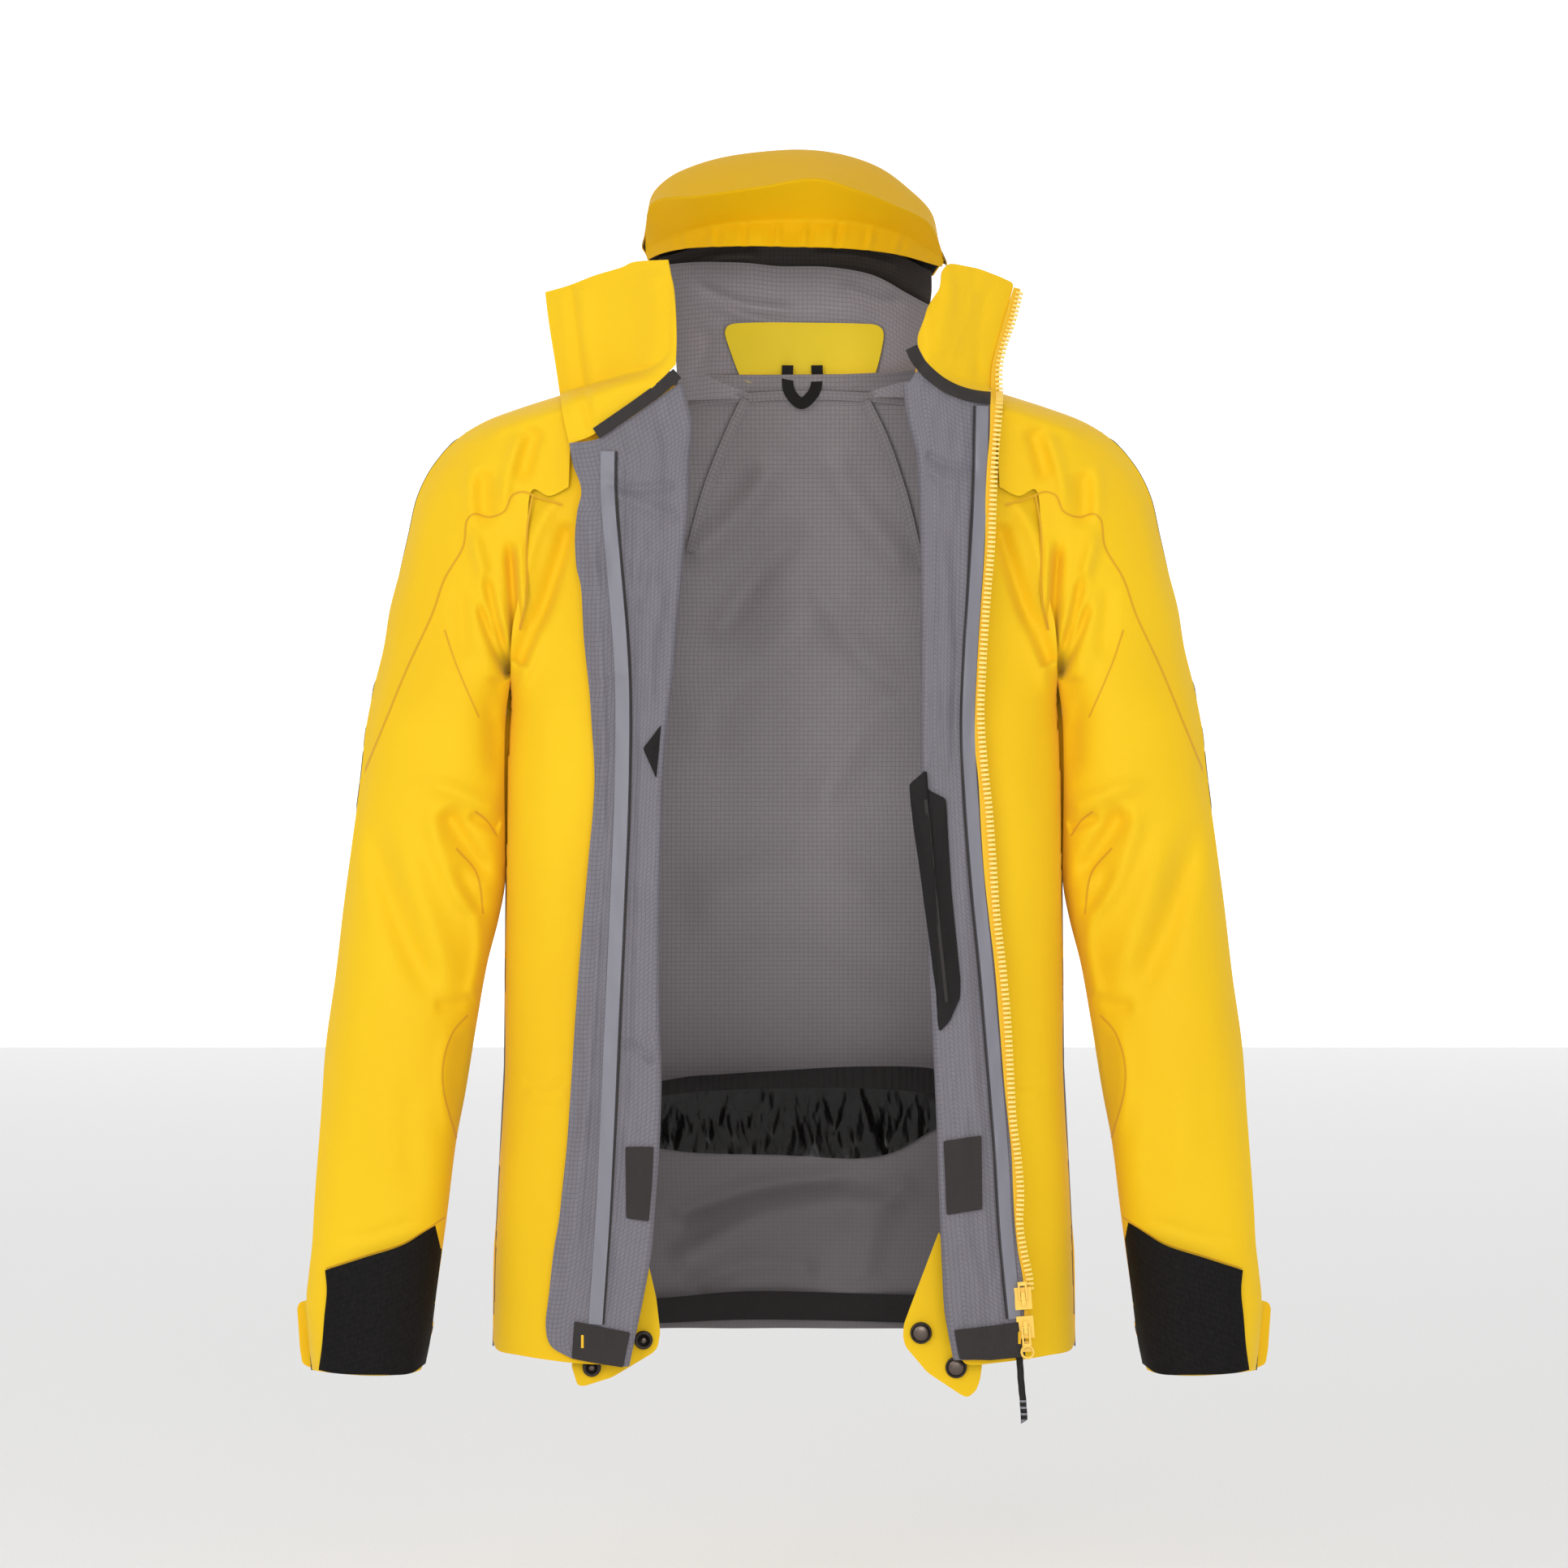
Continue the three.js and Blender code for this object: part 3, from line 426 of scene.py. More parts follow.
def arm_back(x, z):
    a = np.abs(x); k = sstep(-262, -196, z); o = S_OUT(z) + 1.8 * sstep(0, -20, z); r = np.clip((o - a) / 95.0, 0, 1)
    sh = 62 * np.power(np.clip(1 - (1 - r) ** 2.2, 0, 1), .5) + 40 * sstep(215, 110, a)
    c, rr = (S_OUT(z) + S_IN(z)) / 2, (S_OUT(z) - S_IN(z)) / 2 + 1.3
    return (S_D(z) * sup((a - c) / rr, 2.3) + S_Y(z)) * (1 - k) + sh * k


def back_y(x, z):
    a = np.abs(x); k = sstep(-262, -196, z) * sstep(-8, -50, z)
    return np.maximum(DBz(z) * sup(x / Wz(z), 2.8), (60 + 38 * sstep(215, 110, a)) * k)


def lapel_y(sg, z, x, near=30.0):
    fx, fy = fold_at(sg, z); d = np.abs(x - fx)
    base = np.where(z > -226, -np.maximum(shoulder_f(x, z), 0), front_y(x, z))
    y0 = fy - 4.6
    t = sstep(0, near, d)
    return np.minimum(y0 * (1 - t) + (base - 9) * t, y0 + d * .62)


# ---------------------------------------------------------------- folds drawn in the plan
def seg_field(u, v, pts, width, amp, ends=(0.12, 0.12), skew=0.0):
    """amp mm along a curve, falling off across width plan units; negative makes a valley"""
    c = spline(pts, max(8, 4 * len(pts))); best = np.full(u.shape, 1e9); tt = np.zeros(u.shape); side = np.zeros(u.shape)
    n = len(c) - 1
    for i in range(n):
        a, b = c[i], c[i + 1]; ab = b - a; L = ab @ ab + 1e-9
        t = np.clip(((u - a[0]) * ab[0] + (v - a[1]) * ab[1]) / L, 0, 1)
        dx, dy = u - (a[0] + t * ab[0]), v - (a[1] + t * ab[1]); d = dx * dx + dy * dy
        m = d < best; best = np.where(m, d, best); tt = np.where(m, (i + t) / n, tt)
        side = np.where(m, np.sign(ab[0] * dy - ab[1] * dx), side)
    d = np.sqrt(best)
    w = width * (1 + skew * side)
    e = np.clip(tt / max(ends[0], 1e-6), 0, 1) * np.clip((1 - tt) / max(ends[1], 1e-6), 0, 1)
    e = e * e * (3 - 2 * e)
    return amp * np.exp(-(d / w) ** 2) * e


def field(u, v, table):
    r = np.zeros(u.shape)
    for row in table:
        r += seg_field(u, v, *row)
    return r


def mirror(table):
    out = []
    for row in table:
        r = list(row); r[0] = [(1931 - p[0], p[1]) for p in row[0]]
        if len(r) > 4:
            r[4] = -r[4]
        out.append(tuple(r))
    return out


def wav(u, v, s=1.0, seed=0):
    """soft low waves so that no panel is perfectly flat"""
    q = np.random.default_rng(seed); r = np.zeros(u.shape)
    for _ in range(7):
        a = q.uniform(0, math.pi); f = q.uniform(.010, .034); p = q.uniform(0, 6.28)
        r += np.sin((u * math.cos(a) * 1.6 + v * math.sin(a) * .7) * f + p) / (f * 60)
    return r * s


# ---------------------------------------------------------------- fronts of the body
SIDE_L = [(656, 600), (649, 652), (648, 731), (639, 774), (628, 838), (624, 870), (622, 897), (621, 1040), (623, 1090), (621, 1201), (622, 1304), (618, 1390), (614, 1442), (611, 1500), (608, 1540), (607, 1600), (607, 1652)]
mx = lambda pts: [(1931 - p[0], p[1]) for p in pts]
OUT_L = [(700, 484), (640, 503), (600, 518), (575, 532), (555, 548), (544, 560), (527, 584), (513, 615), (503, 658), (492, 704), (480, 750), (472, 799), (460, 848), (450, 900), (446, 940), (440, 989), (433, 1040)]
OUT2_L = [(433, 1040), (423, 1115), (413, 1201), (401, 1287), (395, 1373), (387, 1480), (384, 1534), (380, 1569), (377, 1601), (383, 1688)]
IN2_L = [(622, 1040), (622, 1088), (614, 1132), (600, 1187), (587, 1260), (573, 1346), (562, 1404), (550, 1500), (538, 1587), (527, 1664), (518, 1688)]

CR_BODY = [  # chest and front panel of the wearer's right side
    ([(705, 640), (690, 690), (672, 745), (640, 820)], 11, -11, (.1, .02), .25),
    ([(700, 600), (668, 640), (650, 690), (646, 740)], 10, 5, (.3, .3)),
    ([(668, 752), (655, 800), (636, 860)], 9, 5, (.3, .3)),
    ([(640, 860), (648, 930), (640, 1010)], 22, -2.2, (.3, .3)),
    ([(690, 900), (676, 1050), (690, 1200)], 26, 2.0, (.3, .3)),
    ([(640, 1329), (669, 1337), (702, 1326)], 5, -1.6, (.2, .2)),
    ([(645, 1345), (672, 1352), (700, 1345)], 9, 1.6, (.2, .2)),
    ([(660, 1380), (650, 1500), (664, 1620)], 24, -2.0, (.3, .3)),
]


def front_body(sd, sg):
    left = [(694, 486), (684, 520), (668, 560), (650, 600), (641, 652), (639, 731), (631, 774)] + SIDE_L[4:]
    if sg < 0:
        fold = [(816, 446), (829, 495), (840, 545), (838, 580), (836, 630), (827, 721), (819, 815), (809, 900), (803, 1025), (801, 1098), (801, 1260), (803, 1354), (797, 1460), (791, 1540), (777, 1617), (765, 1679)]
    else:
        fold = mx([(1128, 450), (1127, 490), (1131, 520), (1141, 556), (1144, 600), (1146, 667), (1147, 748), (1147, 900), (1150, 1020), (1155, 1150), (1160, 1272), (1164, 1354), (1169, 1495), (1174, 1560), (1179, 1640), (1183, 1674)])
    top = [left[0], (734, 476), (765, 466), (790, 456), fold[0]]; bot = [left[-1], (612, 1663), (640, 1670), (702, 1679), (740, 1681), fold[-1]]
    U, V = coons(top, bot, left, fold, 90, 330)
    d = field(U, V, CR_BODY) + wav(U, V, 1.1, 3) - 2.0 * sstep(900, 800, V)
    if sg > 0:
        U = 1931 - U
    P = place(U, V, front_y, d)
    return P, U, V


M2 = [M_Y, M_G]
for sd, sg in (("right", -1), ("left", 1)):
    P, U, V = front_body(sd, sg)
    k = int(np.argmin(np.abs(V[:, 0] - 880)))
    a = grid("front_shell_" + sd, P[k:], M2, 0.9, None, flip=(sg > 0))
    b = grid("chest_shell_" + sd, P[:k + 1], M2, 0.9, None, flip=(sg > 0))
    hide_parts("front_panel_" + sd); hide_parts("chest_panel_" + sd)
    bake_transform(b)
    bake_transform(a)

# ---------------------------------------------------------------- sleeves
CR_ARM = [
    ([(592, 540), (640, 520), (700, 505)], 9, 3.4, (.25, .05)),
    ([(600, 575), (596, 610), (600, 655)], 12, -6.5, (.25, .3)),
    ([(580, 565), (579, 610), (583, 655)], 9, 3.5, (.25, .3)),
    ([(665, 525), (652, 560), (643, 600)], 11, -6.5, (.2, .3), .2),
    ([(644, 525), (632, 560), (622, 600), (621, 640)], 9, 4.5, (.2, .3)),
    ([(580, 645), (590, 690), (604, 735), (622, 790)], 9, 6.5, (.2, .2)),
    ([(596, 700), (606, 745), (616, 785), (629, 832)], 6.5, -13, (.2, .02)),
    ([(588, 738), (600, 775), (612, 806), (627, 836)], 5.5, -9, (.2, .02)),
    ([(626, 660), (630, 700), (633, 760), (630, 832)], 7, -13, (.2, .02)),
    ([(640, 650), (640, 700), (641, 760)], 8, 5, (.3, .3)),
    ([(566, 715), (569, 765), (574, 820)], 11, -4.5, (.3, .3)),
    ([(590, 790), (604, 840), (618, 900)], 11, 4, (.3, .2)),
    ([(610, 830), (608, 900), (612, 970)], 13, -7, (.1, .3)),
    ([(512, 962), (550, 972), (590, 988), (618, 1000)], 12, 6.0, (.35, .15)),
    ([(545, 992), (562, 1022), (586, 1060), (608, 1090)], 13, -11, (.18, .3)),
    ([(575, 1004), (594, 1012), (616, 1020)], 7, -6, (.25, .1)),
    ([(530, 985), (536, 1030), (556, 1085), (582, 1130)], 12, 6.0, (.25, .3)),
    ([(500, 700), (480, 800), (462, 900)], 16, 1.6, (.3, .3)),
    ([(530, 600), (515, 660), (500, 760)], 16, 2.2, (.3, .3)),
]
CR_FORE = [
    ([(452, 985), (464, 1045), (486, 1120), (512, 1185), (540, 1243)], 17, -8.5, (.35, .25)),
    ([(490, 1000), (514, 1090), (540, 1165), (562, 1228)], 17, 5.5, (.35, .25)),
    ([(560, 1060), (576, 1094), (596, 1132)], 10, -5, (.3, .3)),
    ([(556, 1092), (584, 1127), (591, 1160), (584, 1210), (570, 1250)], 9, 5.5, (.2, .2)),
    ([(533, 1240), (560, 1238), (584, 1228)], 9, -4.5, (.2, .1)),
    ([(556, 1262), (545, 1310), (549, 1370), (560, 1410)], 9, 2.6, (.2, .2)),
    ([(575, 1262), (566, 1320), (566, 1380)], 12, -4.5, (.2, .2)),
    ([(478, 1300), (470, 1380), (482, 1470)], 20, 1.8, (.3, .3)),
    ([(440, 1180), (430, 1300), (426, 1420)], 22, 2.0, (.3, .3)),
    ([(512, 1300), (505, 1400), (515, 1500)], 18, -2.4, (.3, .3)),
    ([(400, 1528), (450, 1522), (520, 1500)], 7, -1.2, (.2, .2)),
]
ARM_IN = [(700, 600), (676, 611), (656, 603), (649, 652), (648, 731), (639, 774), (629, 838), (624, 870), (622, 897), (621, 960), (622, 1040)]


def arm_piece(sd, sg, part):
    nu, nv = (76, 190) if part == "up" else (76, 190)
    if part == "up":
        outl, inl = OUT_L, ARM_IN
        top = [outl[0], (702, 540), inl[0]]; bot = [outl[-1], (528, 1040), inl[-1]]; cr = CR_ARM + CR_FORE
    else:
        outl, inl = OUT2_L, IN2_L
        top = [outl[0], (528, 1040), inl[0]]; bot = [outl[-1], (411, 1692), (465, 1695), (506, 1692), inl[-1]]; cr = CR_ARM + CR_FORE
    # cosine spacing so that the rounded edges are well sampled
    U, V = coons(top, bot, outl, inl, 400, nv)
    w = (1 - np.cos(np.linspace(0, math.pi, nu))) / 2 * 399
    U = np.stack([np.interp(w, np.arange(400), r) for r in U]); V = np.stack([np.interp(w, np.arange(400), r) for r in V])
    edge = np.minimum(sstep(0, .12, np.linspace(0, 1, nu))[None], 1)
    d = (field(U, V, cr) + wav(U, V, 1.2, 11)) * edge
    Um = U if sg < 0 else 1931 - U
    F = place(Um, V, arm_front, d)
    db = field(U, V, [(r[0], r[1] * 1.3, r[2] * .5) + tuple(r[3:]) for r in cr]) * edge + wav(U, V, 1.2, 12) * edge
    B = place(Um, V, arm_back, -db)
    # make the silhouettes and the lower inner edge meet
    m = (F[:, 0] + B[:, 0]) / 2; F[:, 0] = m; B[:, 0] = m
    P = np.concatenate([F[:, ::-1], B[:, 1:]], 1)
    low = (V[:, -1] > 846) if part == "up" else np.ones(nv, bool)
    mid = (P[:, 0] + P[:, -1]) / 2
    wgt = sstep(838, 900, V[:, -1])[:, None] if part == "up" else np.ones((nv, 1))
    s_ = P[:, 0].copy(); e_ = P[:, -1].copy()
    P[:, 0] = s_ * (1 - wgt) + mid * wgt; P[:, -1] = e_ * (1 - wgt) + mid * wgt
    return P, U, V


M_IN = [M_Y, M_HI]
for sd, sg in (("right", -1), ("left", 1)):
    P, U, V = arm_piece(sd, sg, "up")
    o = grid("sleeve_shell_" + sd, P, M_IN, 0.9, None, flip=(sg < 0))
    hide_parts("upper_sleeve_" + sd, "sleeve_head_" + sd, "sleeve_head_lower_" + sd, "shoulder_yoke_" + sd)
    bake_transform(o)
    P2, U2, V2 = arm_piece(sd, sg, "fore")
    o2 = grid("forearm_shell_" + sd, P2, M_IN, 0.9, None, flip=(sg < 0))
    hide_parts("forearm_sleeve_" + sd, "cuff_back_" + sd)
    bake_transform(o2)


# ---------------------------------------------------------------- more builders
def patch(name, top, bottom, left, right, f, mats, body=None, nu=40, nv=120, thick=.9, d=0.0, cr=(), flip=False, amp=.5, seed=5, fade=None):
    U, V = coons(top, bottom, left, right, nu, nv)
    dd = d + field(U, V, cr) + wav(U, V, amp, seed)
    if fade is not None:
        dd = d + (dd - d) * fade(U, V)
    P = place(U, V, f, dd)
    return grid(name, P, mats, thick, body, flip=flip)


RELIEF = []


def crinkle(u, v, s=1.0, seed=1, n=16):
    """short random creases along and across a stiff laminate"""
    q = np.random.default_rng(seed); r = np.zeros(u.shape)
    for _ in range(n):
        f = q.uniform(.03, .11); a = q.normal(0, .35); p = q.uniform(0, 6.28); m = np.sin(v * q.uniform(.006, .02) + q.uniform(0, 6.28)) ** 2
        r += (1 - 2 * np.abs(np.sin((u * math.cos(a) + v * math.sin(a) * .5) * f * 1.6 + p))) * m * q.uniform(.3, 1)
    return r * s * .28


def relief(f, U, V):
    for g, h in RELIEF:
        if g is f:
            return h(U, V)
    return 0.0


def ribbon(name, pts, width, f, mats, body=None, n=140, thick=.5, d=1.0, cols=5):
    c = spline(pts, n); t = np.gradient(c, axis=0); t /= np.linalg.norm(t, axis=1)[:, None] + 1e-9
    nrm = np.stack([-t[:, 1], t[:, 0]], 1)
    if nrm[:, 0].mean() < 0:
        nrm = -nrm
    w = np.interp(np.linspace(0, 1, n), np.linspace(0, 1, len(width)), width) if isinstance(width, (list, tuple)) else np.full(n, width)
    o = np.linspace(-.5, .5, cols)
    U = c[:, 0][:, None] + nrm[:, 0][:, None] * w[:, None] * o[None]
    V = c[:, 1][:, None] + nrm[:, 1][:, None] * w[:, None] * o[None]
    fl = (c[-1, 1] - c[0, 1]) < 0
    return grid(name, place(U, V, f, d + relief(f, U, V) + 0 * U), mats, thick, body, flip=bool(fl))


def rounded(pts, r, k=6):
    p = np.array(pts, float); n = len(p); out = []
    for i in range(n):
        a, b, c = p[i - 1], p[i], p[(i + 1) % n]
        u, v = a - b, c - b; lu, lv = np.linalg.norm(u), np.linalg.norm(v)
        q = min(r, lu * .45, lv * .45)
        s_, e_ = b + u / lu * q, b + v / lv * q
        for t in np.linspace(0, 1, k):
            out.append((1 - t) ** 2 * s_ + 2 * t * (1 - t) * b + t * t * e_)
    return np.array(out)


def disc(name, pts, f, mats, body=None, thick=.9, d=1.0, r=6, n=144, cr=(), amp=.25, seed=9, rings=12, puff=0.0, centre=None):
    p = rounded(pts, r); q = np.vstack([p, p[:1]])
    L = np.concatenate([[0], np.cumsum(np.linalg.norm(np.diff(q, axis=0), axis=1))]); tt = np.linspace(0, L[-1], n + 1)
    b = np.stack([np.interp(tt, L, q[:, 0]), np.interp(tt, L, q[:, 1])], 1)
    area2 = np.sum(b[:-1, 0] * b[1:, 1] - b[1:, 0] * b[:-1, 1])
    c = b[:-1].mean(0) if centre is None else np.array(centre, float)
    rr = np.linspace(1, .004, rings)[:, None, None]
    B = c + (b - c) * rr
    U, V = B[..., 0], B[..., 1]
    dd = d + puff * (1 - rr[..., 0] ** 4) + field(U, V, cr) + wav(U, V, amp, seed) + relief(f, U, V)
    POLAR.add(name)
    return grid(name, place(U, V, f, dd), mats, thick, body, flip=bool(area2 < 0))


fL = lambda x, z: lapel_y(-1, z, x)
fR = lambda x, z: lapel_y(1, z, x)
ML2 = [M_L, M_Y]; MY2 = [M_Y, M_YIN]
bk = lambda x, z: back_y(x, z)

# ---------------------------------------------------------------- lapels
LFREE = [(701, 546), (705, 571), (716, 604), (711, 629), (708, 660), (710, 700), (715, 721), (719, 788), (726, 855), (729, 900), (731, 928), (732, 960), (730, 1001), (725, 1054), (719, 1122), (714, 1178), (708, 1260), (702, 1354), (698, 1411), (693, 1460), (688, 1505), (682, 1540), (676, 1594), (672, 1635), (678, 1658), (704, 1674)]
LFOLD = [(834, 474), (845, 524), (842, 560), (841, 590), (840, 630), (835, 673), (831, 721), (827, 761), (823, 815), (817, 868), (812, 915), (809, 960), (807, 1025), (805, 1098), (805, 1260), (807, 1320), (806, 1370), (804, 1420), (800, 1475), (795, 1540), (788, 1581), (781, 1617), (775, 1645), (767, 1684)]
LTOP = [(701, 546), (735, 541), (753, 530), (779, 513), (804, 495), (834, 474)]
CR_LL = [
    ([(722, 620), (738, 800), (745, 1000), (730, 1250), (700, 1560)], 8, 1.9, (.05, .05)),
    ([(738, 560), (742, 700), (750, 900), (744, 1100), (735, 1300), (715, 1600)], 5, -1.6, (.05, .05)),
    ([(772, 560), (776, 760), (782, 900), (778, 1100), (772, 1300), (745, 1640)], 5, -1.8, (.03, .03)),
    ([(800, 500), (806, 620), (800, 760), (796, 900)], 12, 2.6, (.1, .2)),
    ([(742, 590), (775, 602), (834, 598)], 6, -2.6, (.1, .1)),
    ([(748, 606), (790, 622), (838, 640)], 8, 2.4, (.1, .1)),
    ([(760, 1284), (784, 1292), (806, 1309)], 5, -2.4, (.1, .1)),
    ([(703, 560), (712, 590), (708, 640)], 6, 2.4, (.2, .2)),
    ([(812, 640), (800, 690), (780, 760)], 9, -2.2, (.2, .2)),
    ([(824, 700), (806, 780), (800, 880)], 8, 1.8, (.2, .2)),
]


def lapel_sheet(name, top, bottom, free, fold, f, sg, cr, body, nu=70, nv=330):
    """grey face outward; the fold edge rolls back under itself"""
    left, right = (free, fold) if sg < 0 else (fold, free)
    U, V = coons(top, bottom, left, right, nu, nv)
    edge = U[:, -1:] if sg < 0 else U[:, :1]
    P = place(U, V, f, field(U, V, cr) + wav(U, V, .6, 21) + crinkle(U, V, 1.0, 5 if sg < 0 else 6))
    fe = P[:, -1] if sg < 0 else P[:, 0]
    roll = []
    for a in np.linspace(0, math.pi * .82, 9)[1:]:
        q = fe.copy(); q[:, 0] += -sg * .0048 * math.sin(a); q[:, 1] += .0048 * (1 - math.cos(a)); roll.append(q)
    tuck = roll[-1].copy(); tuck[:, 0] += sg * .012; tuck[:, 1] += .0015; roll.append(tuck)
    R = np.stack(roll, 1)
    P = np.concatenate([P, R], 1) if sg < 0 else np.concatenate([R[:, ::-1], P], 1)
    o = grid(name, P, ML2, .9, None)
    return o


RELIEF.append((fL, lambda U, V: field(U, V, CR_LL) + wav(U, V, .6, 21) + crinkle(U, V, 1.0, 5)))
o = lapel_sheet("lapel_shell_right", LTOP, [(704, 1674), (735, 1680), (767, 1684)], LFREE, LFOLD, fL, -1, CR_LL, "lapel_right")
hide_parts("front_edge_right"); fold_blend(o, "lapel_right")
RFOLD = [(1119, 472), (1125, 516), (1135, 555), (1139, 600), (1141, 667), (1142, 748), (1142, 850), (1142, 948), (1145, 1020), (1150, 1150), (1156, 1272), (1160, 1354), (1162, 1406), (1165, 1495), (1168, 1560), (1171, 1615), (1175, 1640), (1182, 1676)]
RZIP = [(1219, 498), (1219, 537), (1216, 571), (1214, 609), (1213, 673), (1208, 748), (1204, 812), (1201, 880), (1201, 924), (1205, 960), (1208, 1016), (1212, 1074), (1218, 1130), (1225, 1188), (1231, 1260), (1237, 1335), (1242, 1383), (1246, 1421), (1248, 1469), (1250, 1505), (1254, 1542), (1260, 1575), (1262, 1628), (1263, 1672)]
RTOP = [(1119, 472), (1134, 455), (1156, 471), (1178, 486), (1198, 493), (1219, 498)]
CR_RL = [
    ([(1190, 560), (1190, 800), (1185, 1000), (1200, 1300), (1220, 1600)], 6, 1.6, (.05, .05)),
    ([(1139, 558), (1170, 574), (1206, 576)], 5, -2.4, (.1, .1)),
    ([(1140, 575), (1165, 592), (1205, 596)], 7, 2.2, (.1, .1)),
    ([(1160, 640), (1165, 800), (1162, 940)], 9, 2.2, (.2, .2)),
    ([(1176, 640), (1178, 820), (1172, 980)], 6, -1.8, (.2, .2)),
    ([(1175, 1100), (1190, 1260), (1205, 1400)], 8, 1.8, (.2, .2)),
    ([(1180, 1510), (1200, 1560), (1215, 1615)], 9, 1.8, (.2, .2)),
]
RELIEF.append((fR, lambda U, V: field(U, V, CR_RL) + wav(U, V, .6, 21) + crinkle(U, V, 1.0, 6)))
o = lapel_sheet("lapel_shell_left", RTOP, [(1182, 1676), (1220, 1675), (1263, 1672)], RZIP, RFOLD, fR, 1, CR_RL, "lapel_left")
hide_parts("front_edge_left"); fold_blend(o, "lapel_left")

# collar ends turned out over the shoulders
o = patch("collar_turn_right", [(671, 360), (699, 352), (733, 339), (766, 329), (779, 323), (822, 320)], [(701, 547), (731, 535), (753, 513), (779, 495), (804, 477), (832, 449)],
          [(671, 360), (676, 400), (684, 450), (689, 484), (694, 517), (701, 547)], [(822, 320), (828, 352), (831, 376), (833, 415), (832, 449)], fL, MY2, "lapel_right", 70, 90, 1.3, 2.2,
          [([(703, 352), (712, 430), (727, 530)], 5, -2.2, (.02, .05)), ([(716, 350), (724, 430), (738, 520)], 9, 2.0, (.05, .1)), ([(690, 360), (698, 440), (706, 530)], 7, 1.4, (.05, .1)), ([(800, 330), (806, 390), (800, 460)], 16, 2.6, (.1, .1))], False, .7, 31)
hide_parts("collar_flap_right")
o = ribbon("collar_binding_right", [(834, 460), (817, 475), (804, 485), (779, 503), (753, 521), (734, 534)], 15, fL, [M_TR], "lapel_right", 90, .6, 3.6)
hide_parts("flap_binding_right")
o = disc("collar_turn_left", [(1168, 325), (1176, 325), (1206, 331), (1232, 341), (1249, 349), (1241, 380), (1230, 418), (1222, 451), (1220, 484), (1202, 481), (1182, 475), (1162, 465), (1141, 447), (1130, 426), (1130, 414), (1137, 396), (1145, 375), (1158, 355), (1160, 334)], fR, MY2, "lapel_left", 1.3, 2.2, 5, 160,
         [([(1172, 340), (1165, 390), (1162, 440)], 12, 2.6, (.1, .1)), ([(1215, 350), (1205, 410), (1203, 470)], 9, -1.4, (.1, .1))], .5, 33)
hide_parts("collar_flap_left")
o = ribbon("collar_binding_left", [(1122, 428), (1130, 444), (1149, 464), (1168, 477), (1188, 485), (1208, 489), (1220, 490)], 15, fR, [M_TR], "lapel_left", 90, .6, 3.4)
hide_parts("flap_binding_left")

# tapes, patches and stitches on the lapels
o = ribbon("tape_right", [(748, 556), (748, 608), (755, 694), (763, 788), (766, 855), (765, 980), (759, 1130), (753, 1260), (749, 1354), (742, 1500), (733, 1632)], 17, fL, [M_TAPE], "lapel_right", 200, .25, 1.7)
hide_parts("seam_tape_right")
ribbon("tape_groove_right", [(759, 556), (759, 608), (766, 694), (774, 788), (777, 855), (776, 980), (770, 1130), (764, 1260), (760, 1354), (752, 1500), (743, 1632)], 2.6, fL, [M_TR], "lapel_right", 200, .2, 1.5, 3)
o = ribbon("tape_left", [(1210, 500), (1208, 600), (1203, 700), (1196, 810), (1193, 900), (1198, 1000), (1206, 1100), (1216, 1200), (1226, 1320), (1234, 1420), (1240, 1520), (1250, 1625)], 15, fR, [M_TAPE], "lapel_left", 200, .25, 1.7)
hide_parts("seam_tape_left")
ribbon("tape_groove_left", [(1200, 500), (1198, 600), (1193, 700), (1186, 810), (1183, 900), (1188, 1000), (1196, 1100), (1206, 1200), (1216, 1320), (1224, 1420), (1230, 1520), (1240, 1625)], 2.2, fR, [M_TR], "lapel_left", 200, .2, 1.4, 3)
o = disc("hem_patch_cloth_right", [(707, 1628), (721, 1631), (776, 1642), (767, 1685), (735, 1680), (704, 1674)], fL, [M_TR], "lapel_right", .6, 2.6, 2)
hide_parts("hem_patch_right")
o = disc("hem_patch_cloth_left", [(1175, 1639), (1218, 1634), (1262, 1628), (1263, 1672), (1220, 1676), (1182, 1675)], fR, [M_TR], "lapel_left", .6, 2.6, 2)
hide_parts("hem_patch_left")
o = disc("skirt_patch_cloth_right", [(770, 1413), (805, 1413), (803, 1460), (799, 1505), (771, 1501)], fL, [M_TR], "lapel_right", .6, 2.6, 2)
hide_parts("skirt_patch_right")
o = disc("skirt_patch_cloth_left", [(1162, 1406), (1209, 1399), (1210, 1490), (1166, 1497)], fR, [M_TR], "lapel_left", .6, 2.6, 2)
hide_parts("skirt_patch_left")
for nm, pts, f_, b_ in (("bartack_right", [(717, 1645), (717, 1661)], fL, "lapel_right"), ("bartack_left", [(1256, 1641), (1256, 1656)], fR, "lapel_left")):
    ribbon(nm, pts, 3, f_, [M_ZT], b_, 12, .6, 3.6, 3)
o = disc("pocket_mesh_right", [(814, 893), (792, 922), (808, 959)], fL, [M_BK], "lapel_right", .6, .9, 1, 60)
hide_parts("inner_pocket_right")
o = disc("pocket_mesh_left", [(1141, 948), (1120, 966), (1122, 994), (1137, 1105), (1153, 1224), (1155, 1260), (1157, 1272), (1170, 1258), (1182, 1230), (1183, 1207), (1172, 1098), (1165, 984), (1143, 973)], fR, [M_BK], "lapel_left", .9, 2.0, 3, 160, [([(1140, 990), (1153, 1120), (1166, 1240)], 4, 1.6, (.05, .05))], .4, 13)
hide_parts("inner_pocket_left")
ribbon("pocket_zip_left", [(1140, 985), (1146, 1040), (1155, 1130), (1166, 1235)], 4, fR, [M_TR], "lapel_left", 80, .7, 4.4, 3)

